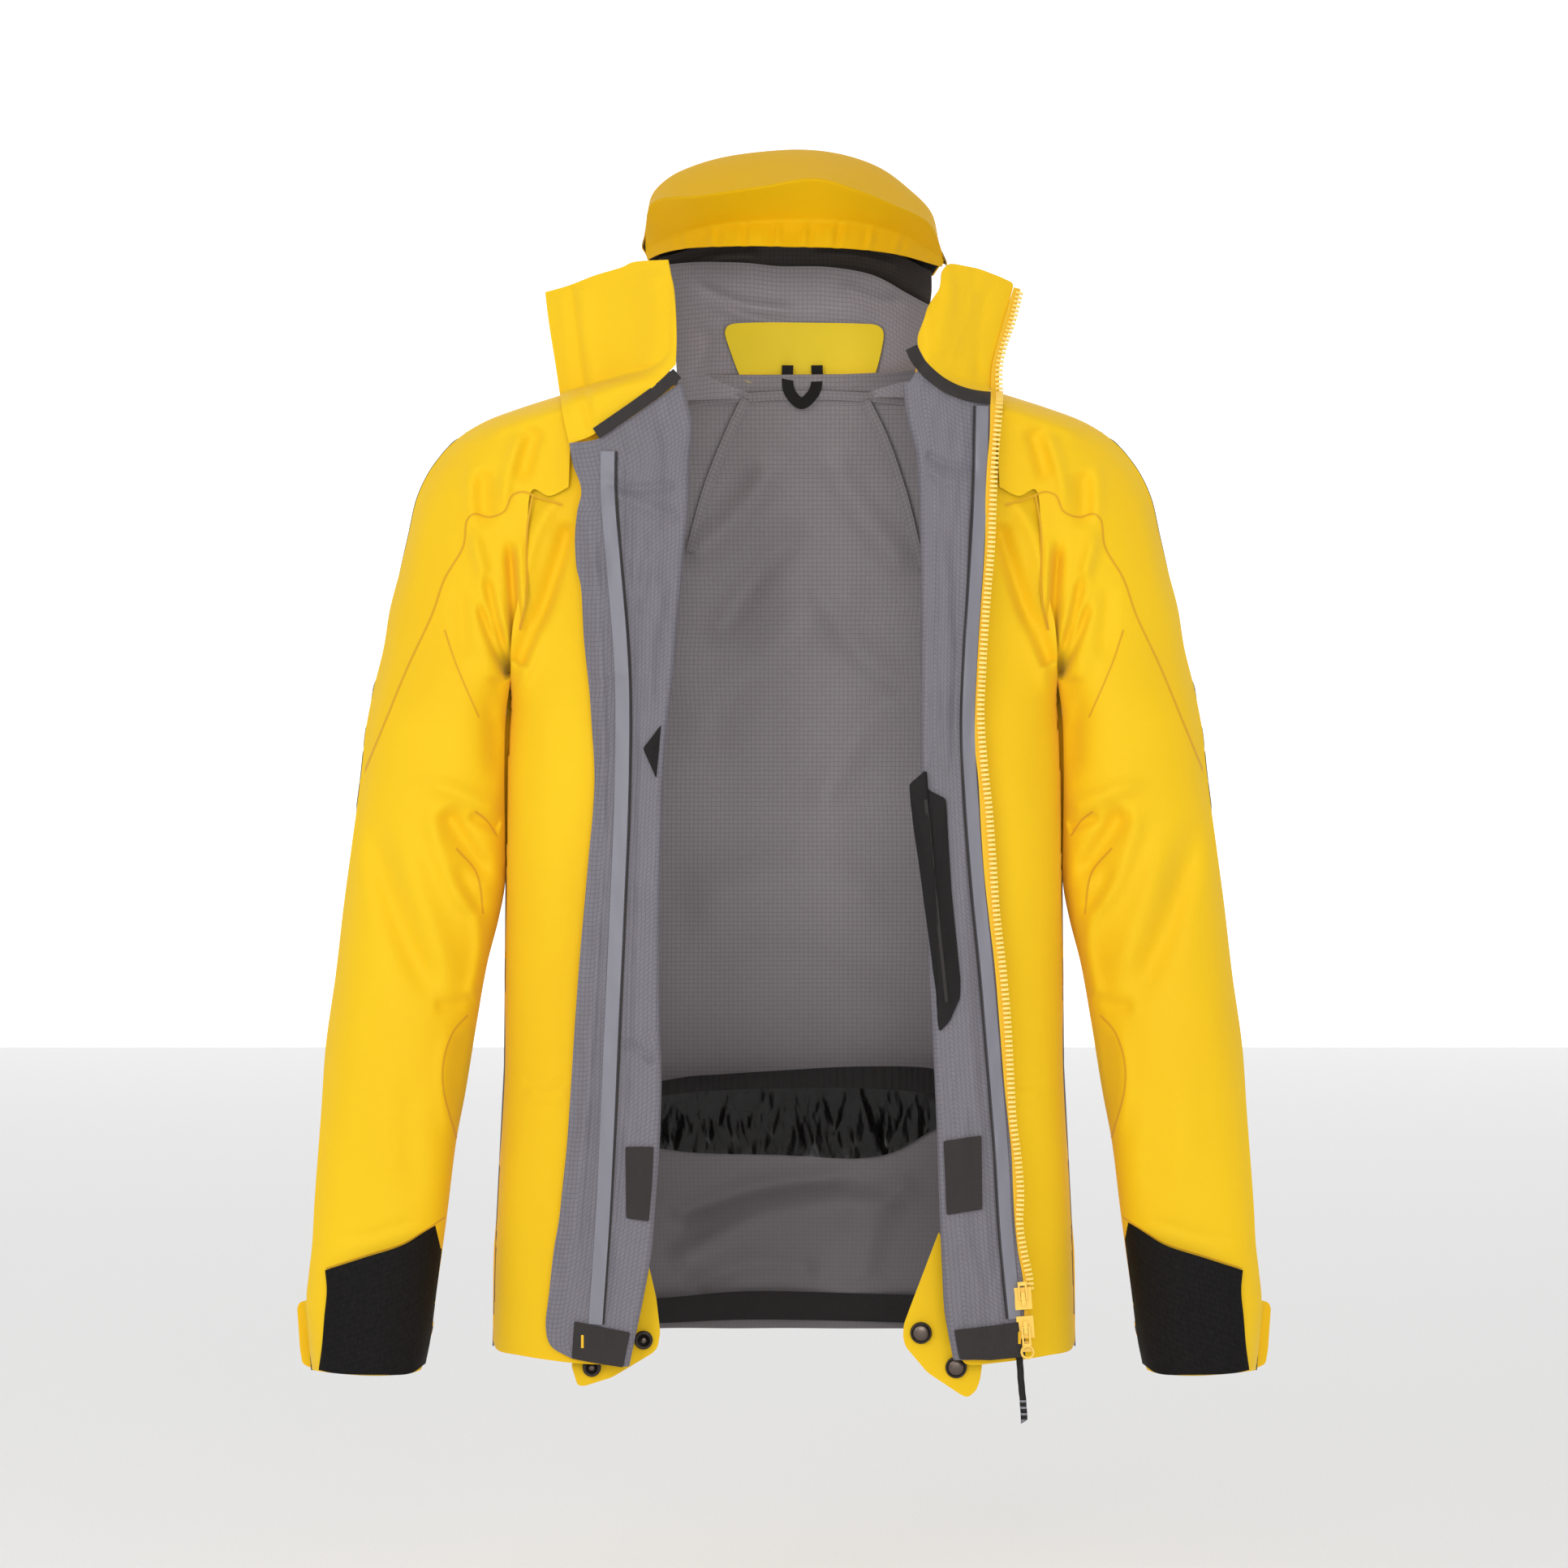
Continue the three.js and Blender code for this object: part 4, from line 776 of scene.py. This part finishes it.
# ---------------------------------------------------------------- front zip
TEETH = [(1257, 356), (1247, 396), (1237, 424), (1231, 451), (1231, 494), (1227, 545), (1225, 574), (1223, 619), (1221, 673), (1217, 721), (1213, 775), (1210, 828), (1208, 880), (1212, 941), (1218, 996), (1223, 1064), (1227, 1122), (1235, 1193), (1241, 1260), (1245, 1335), (1248, 1383), (1253, 1421), (1257, 1469), (1256, 1508), (1261, 1542), (1268, 1575), (1269, 1598)]
TAPE_E = [(1249, 354), (1241, 380), (1230, 418), (1222, 451), (1220, 496)] + RZIP[1:-1]


def strip(name, e1, e2, f, mats, body, d=1.0, n=260, thick=.5):
    a, b = spline(e1, n), spline(e2, n)
    t = np.linspace(0, 1, 6)[None]
    U = a[:, :1] * (1 - t) + b[:, :1] * t; V = a[:, 1:] * (1 - t) + b[:, 1:] * t
    return grid(name, place(U, V, f, d * np.ones(U.shape)), mats, thick, body)


o = strip("zip_tape_cloth", TAPE_E, TEETH[:-1] + [(1266, 1628)], fR, [M_ZT], "lapel_left", 2.2)
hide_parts("zip_chain_left", "zip_chain_collar_left")


def teeth(name, pts, f, body, pitch=.0027, d=3.0):
    c = spline(pts, 1200); P = place(c[:, 0][None], c[:, 1][None], f, d * np.ones((1, len(c))))[0]
    L = np.concatenate([[0], np.cumsum(np.linalg.norm(np.diff(P, axis=0), axis=1))]); k = np.arange(pitch, L[-1] - pitch, pitch)
    Q = np.stack([np.interp(k, L, P[:, i]) for i in range(3)], 1)
    T = np.gradient(Q, axis=0); T /= np.linalg.norm(T, axis=1)[:, None]
    Nn = np.tile([0, -1.0, 0], (len(Q), 1)); X = np.cross(T, Nn); X /= np.linalg.norm(X, axis=1)[:, None]
    if X[:, 0].mean() < 0:
        X = -X
    N2 = np.cross(X, T)
    V, F = [], []
    prof = [(-.0030, .0008), (.0003, .00105), (.0016, .00070), (.0027, .00110)]
    for q, t, x, n_ in zip(Q, T, X, N2):
        b0 = len(V); h = .0011
        for zz in (-h, h):
            for px, w_ in prof:
                V.append(q + x * px - t * w_ + n_ * zz); V.append(q + x * px + t * w_ + n_ * zz)
        m = len(prof); lo, hi = b0, b0 + 2 * m
        for i in range(m - 1):
            a, b, c_, d_ = 2 * i, 2 * i + 1, 2 * i + 3, 2 * i + 2
            F += [(lo + a, lo + d_, lo + c_, lo + b), (hi + a, hi + b, hi + c_, hi + d_), (lo + a, hi + a, hi + d_, lo + d_), (lo + b, lo + c_, hi + c_, hi + b)]
        F += [(lo, lo + 1, hi + 1, hi), (lo + 2 * m - 2, hi + 2 * m - 2, hi + 2 * m - 1, lo + 2 * m - 1)]
    o = mesh_obj(name, V, F, [M_ZP], smooth=False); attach(o, body); return o


teeth("zip_teeth_left", TEETH, fR, "lapel_left", .0036, 3.8)

# ---------------------------------------------------------------- back, seen inside as the lining
def back_grid():
    z = np.concatenate([np.linspace(22, -226, 90), np.linspace(-226, -751, 190)[1:]])
    s = np.sin(np.linspace(-math.pi / 2, math.pi / 2, 171))
    X = Wz(z)[:, None] * s[None] * np.where(z > -60, 1.0, 1.0)[:, None]; Z = np.repeat(z[:, None], len(s), 1)
    Y = back_y(X, Z)
    U, V = proj(X, Y, Z)
    cr = [([(840, 940), (950, 800), (1090, 690)], 34, 6, (.2, .2)), ([(838, 700), (905, 640), (960, 560)], 20, 6, (.2, .2)), ([(1128, 720), (1060, 630), (1012, 545)], 20, 5, (.2, .2)),
          ([(870, 800), (940, 700), (1000, 640)], 18, -4.5, (.2, .2)), ([(1125, 860), (1040, 780), (990, 690)], 18, -4, (.2, .2)), ([(830, 1130), (960, 1080), (1110, 1120)], 40, 4, (.2, .2)),
          ([(830, 1230), (960, 1180), (1120, 1250)], 30, -3.5, (.2, .2)), ([(1000, 1010), (1060, 900), (1120, 840)], 22, 4, (.2, .2)),
          ([(820, 1562), (950, 1500), (1120, 1478)], 22, 7, (.1, .2)), ([(820, 1500), (930, 1462), (1070, 1445)], 14, -5, (.1, .2)), ([(1060, 1585), (1080, 1500), (1130, 1440)], 18, 4, (.1, .2)), ([(840, 1585), (920, 1555), (1010, 1560)], 16, -4, (.1, .1))]
    RELIEF.append((bk, lambda U, V: field(U, V, cr) + wav(U, V, 1.4, 41)))
    e = np.clip(np.cos(np.linspace(-math.pi / 2, math.pi / 2, 171)) * 2.2, 0, 1)[None]
    D = (field(U, V, cr) + wav(U, V, 1.4, 41)) * e
    P = np.stack([X, Y - D, Z], -1) / 1000
    arc = np.concatenate([np.zeros((len(z), 1)), np.cumsum(np.linalg.norm(np.diff(P, axis=1), axis=2), axis=1)], 1); arc -= arc[:, 85][:, None]
    return P, np.stack([arc, Z / 1000], -1), z


PB, UB, ZB = back_grid()
KZ = int(np.argmin(np.abs(ZB + 226)))
for sd, sg, a_, b_ in (("right", -1, 0, 86), ("left", 1, 85, 171)):
    up = grid("back_yoke_shell_" + sd, PB[:KZ + 1, a_:b_], [M_G, M_Y], .9, None, uvs=UB[:KZ + 1, a_:b_])
    lo = grid("back_shell_" + sd, PB[KZ:, a_:b_], [M_G, M_Y], .9, None, uvs=UB[KZ:, a_:b_])
    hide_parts("upper_back"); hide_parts("back_panel")
    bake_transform(up)
    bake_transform(lo)
ribbon("neck_seam_tape", [(842, 497), (900, 491), (985, 487), (1060, 489), (1118, 494)], 11, bk, [M_G], "torso", 120, .25, 3.0)
ribbon("raglan_tape_right", [(918, 492), (900, 530), (872, 600), (850, 680)], 11, bk, [M_G], "torso", 120, .25, 5.0)
ribbon("raglan_tape_left", [(1066, 494), (1088, 540), (1112, 610), (1134, 700)], 11, bk, [M_G], "torso", 120, .25, 5.0)

# standing collar, its patch and loop
# painted light: the neck patch's yellow is brighter than the shell's, making up for the shade inside the collar
M_NP = shell("neck_patch_cloth", srgb(255, 226, 40), srgb(252, 212, 30), .6, .1, .3)
cy = lambda x, z: -64 + 158 * sup((x - 10) / 122, 2.6)
CTOP = [(822, 326), (856, 323), (919, 324), (959, 328), (1019, 329), (1075, 339), (1118, 362), (1147, 378)]
o = patch("collar_lining", CTOP, [(836, 494), (900, 491), (985, 487), (1060, 489), (1138, 490)], [(822, 326), (830, 400), (834, 450), (836, 494)], [(1147, 378), (1144, 410), (1142, 440), (1138, 490)], cy, [M_LC, M_Y], "torso", 90, 60, 1.0, 0,
          [([(850, 345), (900, 372), (985, 384)], 8, 3.0, (.2, .2)), ([(860, 360), (930, 392), (1090, 388)], 8, -2.6, (.2, .2)), ([(1120, 375), (1080, 372), (1030, 350)], 9, 3.0, (.2, .2)), ([(850, 470), (870, 430), (868, 400)], 10, 2.4, (.2, .2))], False, .7, 44)
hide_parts("back_collar")
o = disc("neck_patch_cloth", [(888, 399), (940, 397), (1040, 398), (1091, 400), (1084, 440), (1074, 474), (990, 473), (914, 472), (902, 440)], cy, [M_NP], "torso", .6, 3.2, 20, 144, (), .3, 45)
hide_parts("neck_patch")
o = ribbon("hanger_strap", [(970, 450), (970, 470), (973, 484), (987, 497), (1002, 484), (1006, 470), (1006, 450)], 14, cy, [M_BK], "torso", 60, 1.5, 9.0)
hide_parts("hanger_loop")

# ---------------------------------------------------------------- hood
def hood():
    n = 150
    Lw = spline([(797, 320), (812, 313), (843, 306), (900, 303), (959, 303), (1059, 307), (1108, 314), (1160, 329)], n)
    G = spline([(795, 308), (826, 293), (861, 283), (896, 276), (946, 273), (1012, 273), (1058, 276), (1108, 288), (1163, 320)], n)
    C = spline([(794, 296), (803, 250), (863, 241), (936, 230), (1005, 220), (1052, 233), (1100, 252), (1145, 276), (1162, 318)], n)
    T = spline([(791, 305), (796, 273), (803, 240), (824, 219), (853, 205), (890, 194), (938, 187), (994, 184.5), (1041, 191), (1084, 207), (1117, 231), (1147, 262), (1157, 300), (1166, 326)], n)
    s = np.linspace(-1, 1, n); q = np.abs(s) ** 2.4
    side = 42.0
    def row(c, y0):
        y = y0 + (side - y0) * q; k = .64 * (3700 + y) / 3700
        return np.stack([(c[:, 0] - 965.5) * k, y, -307.8 + (966 - c[:, 1]) * k], -1)
    r0, r1, r2, r3 = row(Lw, -56), row(G, -45), row(C, -79), row(T, 18)
    xs = r3[:, 0]; zt = r3[:, 2]
    zb = 100 + 0 * zt
    r4 = np.stack([xs * 1.0, 92 + (side - 92) * q, zt * .93 + zb * .07], -1)
    r5 = np.stack([xs * .97, 132 + (side + 4 - 132) * q, zt * .45 + zb * .55 + 4], -1)
    r6 = np.stack([xs * .92, 118 + (side + 2 - 118) * q, zb - 2], -1)
    K = np.stack([r0, r1, r2, r3, r4, r5, r6], 0)
    tk = np.array([0, .10, .22, .5, .72, .9, 1.0])
    t = np.concatenate([np.linspace(0, .10, 14), np.linspace(.10, .22, 14)[1:], np.linspace(.22, 1, 70)[1:]])
    P = np.empty((len(t), n, 3))
    for j in range(7 - 1):
        m = (t >= tk[j] - 1e-9) & (t <= tk[j + 1] + 1e-9)
        if j < 2:
            w = ((t[m] - tk[j]) / (tk[j + 1] - tk[j]))[:, None, None]
            P[m] = K[j] * (1 - w) + K[j + 1] * w
    m = t >= tk[2] - 1e-9
    h = (t[m] - tk[2])
    idx = np.clip(np.searchsorted(tk, t[m], side="right") - 1, 2, 5); w = ((t[m] - tk[idx]) / (tk[idx + 1] - tk[idx]))[:, None, None]
    p0, p1, p2, p3 = K[np.maximum(idx - 1, 2)], K[idx], K[idx + 1], K[np.minimum(idx + 2, 6)]
    P[m] = .5 * (2 * p1 + (p2 - p0) * w + (2 * p0 - 5 * p1 + 4 * p2 - p3) * w ** 2 + (3 * p1 - p0 - 3 * p2 + p3) * w ** 3)
    # gathers along the face edge, soft waves above
    g = np.exp(-((t - .05) / .045) ** 2)[:, None] * np.sin(np.cumsum(np.abs(np.sin(np.arange(n) * .41) * .6 + .55)))[None] * 1.7 * (1 - q)[None]
    wv = (np.sin(t[:, None] * 9 + s[None] * 5) + np.sin(t[:, None] * 15 - s[None] * 8)) * 1.1 * sstep(.2, .4, t)[:, None] * (1 - q)[None]
    P[..., 1] -= g + wv
    return P / 1000


PH = hood()
o = grid("hood_cloth", PH, [M_YH, M_HI], 1.1, None, flip=True)
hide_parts("hood_shell", "hood_brim", "hood_face_edge"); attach(o, "hood")
o = patch("hood_inner_wall", [(812, 318), (880, 300), (990, 296), (1090, 308), (1146, 334)], [(824, 400), (900, 404), (1000, 404), (1140, 400)], [(812, 318), (816, 350), (824, 400)], [(1146, 334), (1146, 360), (1140, 400)], lambda x, z: cy(x, z) + 10, [M_HI, M_HI], "torso", 90, 50, 1.0, 0,
          [([(840, 330), (880, 318), (940, 312)], 7, 3, (.2, .2)), ([(1110, 330), (1060, 316), (1000, 312)], 7, 3, (.2, .2))], False, .8, 55)
ribbon("hood_stitch", [(800, 258), (806, 245), (826, 225), (856, 211), (892, 200), (940, 193.5), (994, 191), (1040, 197), (1082, 213), (1114, 237), (1138, 262)], 1.6, lambda x, z: 0 * x + 4 + 30 * np.clip(np.abs(x - 8) / 118, 0, 1) ** 2.4, [M_YIN], "hood", 120, .2, 6.0, 3)

# ---------------------------------------------------------------- cuffs
for sd, sg, bd in (("right", -1, "cuff_tab_r"), ("left", 1, "cuff_tab_l")):
    tp, bt = [(400, 1565), (447, 1550), (497, 1534), (519, 1521), (549, 1501)], [(392, 1688), (411, 1692), (465, 1694), (506, 1692), (524, 1680)]
    le, ri = [(400, 1565), (402, 1590), (399, 1623), (396, 1659), (392, 1688)], [(549, 1501), (538, 1587), (530, 1650), (524, 1680)]
    if sg > 0:
        tp, bt, le, ri = mx(tp)[::-1], mx(bt)[::-1], mx(ri), mx(le)
    o = patch("cuff_stretch_" + sd, tp, bt, le, ri, arm_front, [M_CF], "forearm_" + sd, 80, 70, 1.0, 1.5, (), False, .5, 61)
    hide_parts("cuff_panel_" + sd)
    p = [(380, 1601), (368, 1605), (365.5, 1612), (367, 1632), (369, 1662), (372, 1680), (379, 1684), (394, 1689), (397, 1659), (400, 1623), (402, 1600)]
    o = disc("cuff_tab_cloth_" + sd, p if sg < 0 else mx(p), lambda x, z: arm_front(x, z) * .35 - 6, MY2, bd, 1.6, 2.0, 5, 120, (), .2, 62)
    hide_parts("cuff_tab_" + sd)

# ---------------------------------------------------------------- snow skirt, hem facing, snap tabs
def skirt():
    nu, nv = 260, 70
    U, V = coons([(803, 1350), (851, 1343), (960, 1338), (1060, 1338), (1165, 1346)], [(800, 1413), (851, 1420), (960, 1423), (1060, 1427), (1102, 1419), (1136, 1400), (1168, 1383)], [(803, 1350), (802, 1382), (800, 1413)], [(1165, 1346), (1167, 1366), (1168, 1383)], nu, nv)
    t = np.linspace(0, 1, nv)[:, None]; q = np.random.default_rng(8); g = np.zeros(U.shape)
    for _ in range(16):
        f = q.uniform(.05, .42); sl = q.uniform(-.55, .55); ph = q.uniform(0, 6.28)
        g += (1 - np.abs(np.sin((U + V * sl) * f * .5 + ph)) * 2) * q.uniform(.5, 1.1) / (1 + f * 6)
    g *= 1.7 * (.5 + .9 * np.sin(t * math.pi)) ; lift = 26 * (1 - t) ** 1.2 + 5
    return place(U, V, lambda x, z: back_y(x, z), lift + g)


o = grid("snow_skirt_cloth", skirt(), [M_GL], .6, "torso"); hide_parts("snow_skirt"); SK = o
U, V = coons([(803, 1334), (851, 1326), (882, 1324), (960, 1319), (1060, 1314), (1144, 1316), (1165, 1322)], [(803, 1352), (851, 1346), (960, 1341), (1060, 1341), (1165, 1348)], [(803, 1334), (803, 1352)], [(1165, 1322), (1165, 1348)], 240, 14)
o = grid("skirt_band", place(U, V, bk, 31 + 1.3 * np.abs(np.sin(U * .33 + np.sin(U * .05) * 2)) + 1.2 * np.sin(np.linspace(0, 1, 14) * math.pi)[:, None]), [M_BK], 1.2, "torso")
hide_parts("skirt_elastic")
o = patch("hem_band", [(790, 1601), (820, 1599), (920, 1591), (1060, 1594), (1150, 1596)], [(790, 1631), (820, 1630), (920, 1626), (1060, 1628), (1150, 1631)], [(790, 1601), (790, 1631)], [(1150, 1596), (1150, 1631)], bk, [M_BK], "torso", 160, 16, .7, 6.5, (), False, .8, 71)
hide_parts("hem_facing")
tabf = lambda x, z: -85 + 0 * x
o = disc("snap_tab_cloth_right", [(796, 1547), (808, 1599), (813, 1642), (810, 1660), (804, 1667), (754, 1697), (719, 1708), (711, 1707), (703, 1681), (730, 1640), (770, 1590)], tabf, MY2, "tab_right", 1.6, 0, 5, 150, (), .5, 81)
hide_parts("snap_tab_right")
o = disc("snap_tab_cloth_left", [(1157, 1516), (1128, 1592), (1113, 1632), (1112, 1647), (1115, 1659), (1142, 1691), (1184, 1719), (1192, 1722), (1202, 1714), (1207, 1701), (1210, 1680), (1175, 1644), (1165, 1567)], tabf, MY2, "tab_left", 1.6, 0, 5, 150, (), .5, 82)
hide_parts("snap_tab_left")

# hem cord: an oval braid 5.2 x 3.6 mm, hanging from the zip's lower corner
def cord():
    c = [(.1807, -.0978, -.7475), (.1810, -.0980, -.7510), (.1820, -.0985, -.7670), (.1834, -.0990, -.7810), (.1844, -.0995, -.7970)]
    t = np.linspace(0, 1, 40); k = np.linspace(0, 1, 5); P = np.stack([np.interp(t, k, [p[i] for p in c]) for i in range(3)], 1)
    V = []; m = 20
    for i, p in enumerate(P):
        for j in range(m):
            a = 2 * math.pi * j / m; br = 1 + .03 * math.cos(3 * a + i * .9); V.append(p + np.array([.0026 * math.cos(a) * br, .0018 * math.sin(a) * br, .0 + (.0016 * math.cos(a) if i == len(P) - 1 else 0)]))
    F = [(i * m + j, i * m + (j + 1) % m, (i + 1) * m + (j + 1) % m, (i + 1) * m + j) for i in range(len(P) - 1) for j in range(m)]
    F += [tuple(range(m))[::-1], tuple((len(P) - 1) * m + j for j in range(m))]
    idx = [1 if (28 < i < 39 and (i + (j * 2) // m) % 3 == 0) else 0 for i in range(len(P) - 1) for j in range(m)] + [0, 0]
    return mesh_obj("hem_cord_tail", V, F, [M_BK, M_TAPE], idx=idx), P


CO, CP = cord(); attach(CO, "lapel_left"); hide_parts("hem_cord")


def lathe(name, prof, at, mat, body, m=40):
    """ring profile (radius mm, forward mm) turned about the line of sight"""
    V, F = [], []
    for r, h in prof:
        for j in range(m):
            a = 2 * math.pi * j / m; V.append((at[0] + r / 1000 * math.cos(a), at[1] - h / 1000, at[2] + r / 1000 * math.sin(a)))
    n = len(prof)
    F = [(i * m + j, i * m + (j + 1) % m, (i + 1) * m + (j + 1) % m, (i + 1) * m + j) for i in range(n - 1) for j in range(m)]
    F += [tuple(range(m))[::-1], tuple((n - 1) * m + j for j in range(m))]
    o = mesh_obj(name, V, F, [mat], smooth=True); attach(o, body); return o


for nm, bd, cap in (("snap_cap_1", "tab_left", True), ("snap_cap_2", "tab_left", True), ("snap_socket_1", "tab_right", False), ("snap_socket_2", "tab_right", False)):
    lo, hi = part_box(nm); c = [(lo[i] + hi[i]) / 2 for i in range(3)]; at = (c[0], lo[1] - .0001, c[2]); R_ = (hi[0] - lo[0]) * 500
    if cap:
        lathe(nm + "_rim", [(R_ * .80, 0), (R_ * .99, .05), (R_ * .97, .8), (R_ * .86, 1.2), (R_ * .80, .9), (R_ * .79, .1)], at, M_SR, bd)
        lathe(nm + "_dome", [(R_ * .78, .1), (R_ * .77, .7), (R_ * .60, 1.3), (R_ * .35, 1.6), (R_ * .05, 1.7)], at, M_SN, bd)
    else:
        lathe(nm + "_rim", [(R_ * .62, 0), (R_ * .98, .1), (R_ * .97, 1.0), (R_ * .84, 1.5), (R_ * .66, 1.4), (R_ * .62, .2)], at, M_SR, bd)
        lathe(nm + "_stud", [(R_ * .34, .1), (R_ * .34, 1.1), (R_ * .26, 1.6), (R_ * .06, 1.7)], at, M_SN, bd)

# small hard parts carried over from the CAD keep their shape and get their finish
for nm, m in (("snap_cap_1", M_SN), ("snap_cap_2", M_SN), ("snap_socket_1", M_SN), ("snap_socket_2", M_SN), ("slider_lower", M_ZS), ("slider_upper", M_ZS), ("pull_lower", M_ZS), ("pull_upper", M_ZS), ("zip_box", M_ZS), ("zip_chain_right", M_ZT)):
    ob = bpy.data.objects.get(nm)
    if ob:
        ob.data.materials.clear(); ob.data.materials.append(m)

# ---------------------------------------------------------------- welded seams on the outside
# partly painted shade: the welded-seam strips are a darker yellow, partly the seam's own line and partly the shadow
# along the seam fold
M_YS = shell("yellow_seam", srgb(222, 168, 8), srgb(206, 152, 4))
CR_ALL = CR_ARM + CR_FORE
SEAMS = [
    ("armhole_seam", [(656, 608), (649, 652), (648, 731), (640, 776)], "up", 2.4),
    ("shoulder_seam", [(692, 622), (657, 611), (645, 606), (631, 610), (621, 630), (602, 637), (584, 633), (575, 640), (570, 673), (547, 713), (532, 756), (501, 823), (473, 891), (443, 964)], "up", 2.2),
    ("sleeve_seam", [(547, 776), (562, 820), (590, 884)], "up", 1.8),
    ("gusset_seam", [(585, 1000), (600, 1012), (612, 1030)], "up", 2.0),
    ("elbow_seam", [(562, 1045), (587, 1076), (595, 1126)], "fore", 2.2),
    ("forearm_seam", [(576, 1251), (559, 1270), (547, 1304), (546, 1341), (562, 1402)], "fore", 2.2),
    ("cuff_seam", [(401, 1563), (447, 1548), (497, 1532), (519, 1519), (548, 1500)], "fore", 2.0),
]
for sd, sg in (("right", -1), ("left", 1)):
    for nm, pts, part, wd in SEAMS:
        c = spline(pts, 110); t = np.gradient(c, axis=0); t /= np.linalg.norm(t, axis=1)[:, None]; nn = np.stack([-t[:, 1], t[:, 0]], 1)
        o3 = np.linspace(-.5, .5, 3)
        U = c[:, :1] + nn[:, :1] * wd * o3; V = c[:, 1:] + nn[:, 1:] * wd * o3
        D = field(U, V, CR_ALL) + wav(U, V, 1.2, 11) + .5
        P = place(U if sg < 0 else 1931 - U, V, arm_front, D)
        tx = (c[-1] - c[0]); dn = nn.mean(0)
        o = grid(nm + "_" + sd, P, [M_YS], .5, None, flip=bool((sg < 0) == (dn[0] * tx[1] - dn[1] * tx[0] < 0)))
        if part == "up":
            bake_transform(o)
        else:
            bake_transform(o)

# ---------------------------------------------------------------- floor, light, render look
def area(name, loc, size, power, target=(0, 0, -.3), col=(1, 1, 1)):
    l = bpy.data.lights.new(name, "AREA"); l.shape = "RECTANGLE"; l.size, l.size_y = size; l.energy = power; l.color = col
    o = bpy.data.objects.new(name, l); COL.objects.link(o); o.location = loc
    import mathutils
    o.rotation_euler = (mathutils.Vector(target) - mathutils.Vector(loc)).to_track_quat("-Z", "Y").to_euler(); return o


FLOOR_Z = -1.02
fl = mesh_obj("floor", [(-30, -30, FLOOR_Z), (30, -30, FLOOR_Z), (30, 30, FLOOR_Z), (-30, 30, FLOOR_Z)], [(0, 1, 2, 3)], [plastic("floor_paint", (.92, .92, .92, 1), .9)])
bw = Mat("backdrop_white"); bw.p.inputs["Base Color"].default_value = (.9, .9, .9, 1); bw.p.inputs["Emission Color"].default_value = (1, 1, 1, 1); bw.p.inputs["Emission Strength"].default_value = .62
bd_ = mesh_obj("backdrop", [(-24, 9, FLOOR_Z), (24, 9, FLOOR_Z), (24, 9, 14), (-24, 9, 14)], [(0, 1, 2, 3)], [bw.m])
w = bpy.data.worlds.new("studio"); bpy.context.scene.world = w; w.use_nodes = True
w.node_tree.nodes["Background"].inputs[0].default_value = (1, 1, 1, 1); w.node_tree.nodes["Background"].inputs[1].default_value = 0.66
area("key", (-1.5, -3.0, .6), (1.3, 1.3), 21); area("front", (.35, -3.3, .0), (1.3, 1.0), 26); area("top", (0, .2, 2.4), (2.4, 2.0), 2, (0, 0, 0))
bpy.context.scene.view_settings.view_transform = "Standard"; bpy.context.scene.view_settings.look = "None"

# ---------------------------------------------------------------- each sheet's flat cut, measured along its own cloth
def cloth(name):
    P = GRIDS[name]
    if name in POLAR:
        e = P.reshape(-1, 3); e = e.max(0) - e.min(0); w_, l_ = float(max(e[0], e[1])), float(e[2])
    else:
        w_ = float(np.linalg.norm(np.diff(P, axis=1), axis=2).sum(1).max()); l_ = float(np.linalg.norm(np.diff(P, axis=0), axis=2).sum(0).max())
    a, b, c, d = P[:-1, :-1], P[:-1, 1:], P[1:, 1:], P[1:, :-1]
    ar = float((np.linalg.norm(np.cross(b - a, c - a), axis=2) + np.linalg.norm(np.cross(c - a, d - a), axis=2)).sum() / 2)
    w_, l_ = max(w_, .0101), max(l_, .0101); ar = min(max(ar, .301 * w_ * l_), w_ * l_)


for sd in ("right", "left"):
    cloth("chest_shell_" + sd); cloth("front_shell_" + sd)
    cloth("back_yoke_shell_" + sd); cloth("back_shell_" + sd)
    cloth("sleeve_shell_" + sd)
    cloth("forearm_shell_" + sd)
    cloth("lapel_shell_" + sd)
    cloth("collar_turn_" + sd)
    cloth("hem_patch_cloth_" + sd); cloth("skirt_patch_cloth_" + sd)
    cloth("pocket_mesh_" + sd)
    cloth("cuff_stretch_" + sd); cloth("cuff_tab_cloth_" + sd); cloth("snap_tab_cloth_" + sd)
cloth("collar_lining"); cloth("neck_patch_cloth"); cloth("hanger_strap")
cloth("hood_cloth"); cloth("hood_inner_wall")
cloth("snow_skirt_cloth"); cloth("skirt_band"); cloth("hem_band")
cloth("zip_tape_cloth")
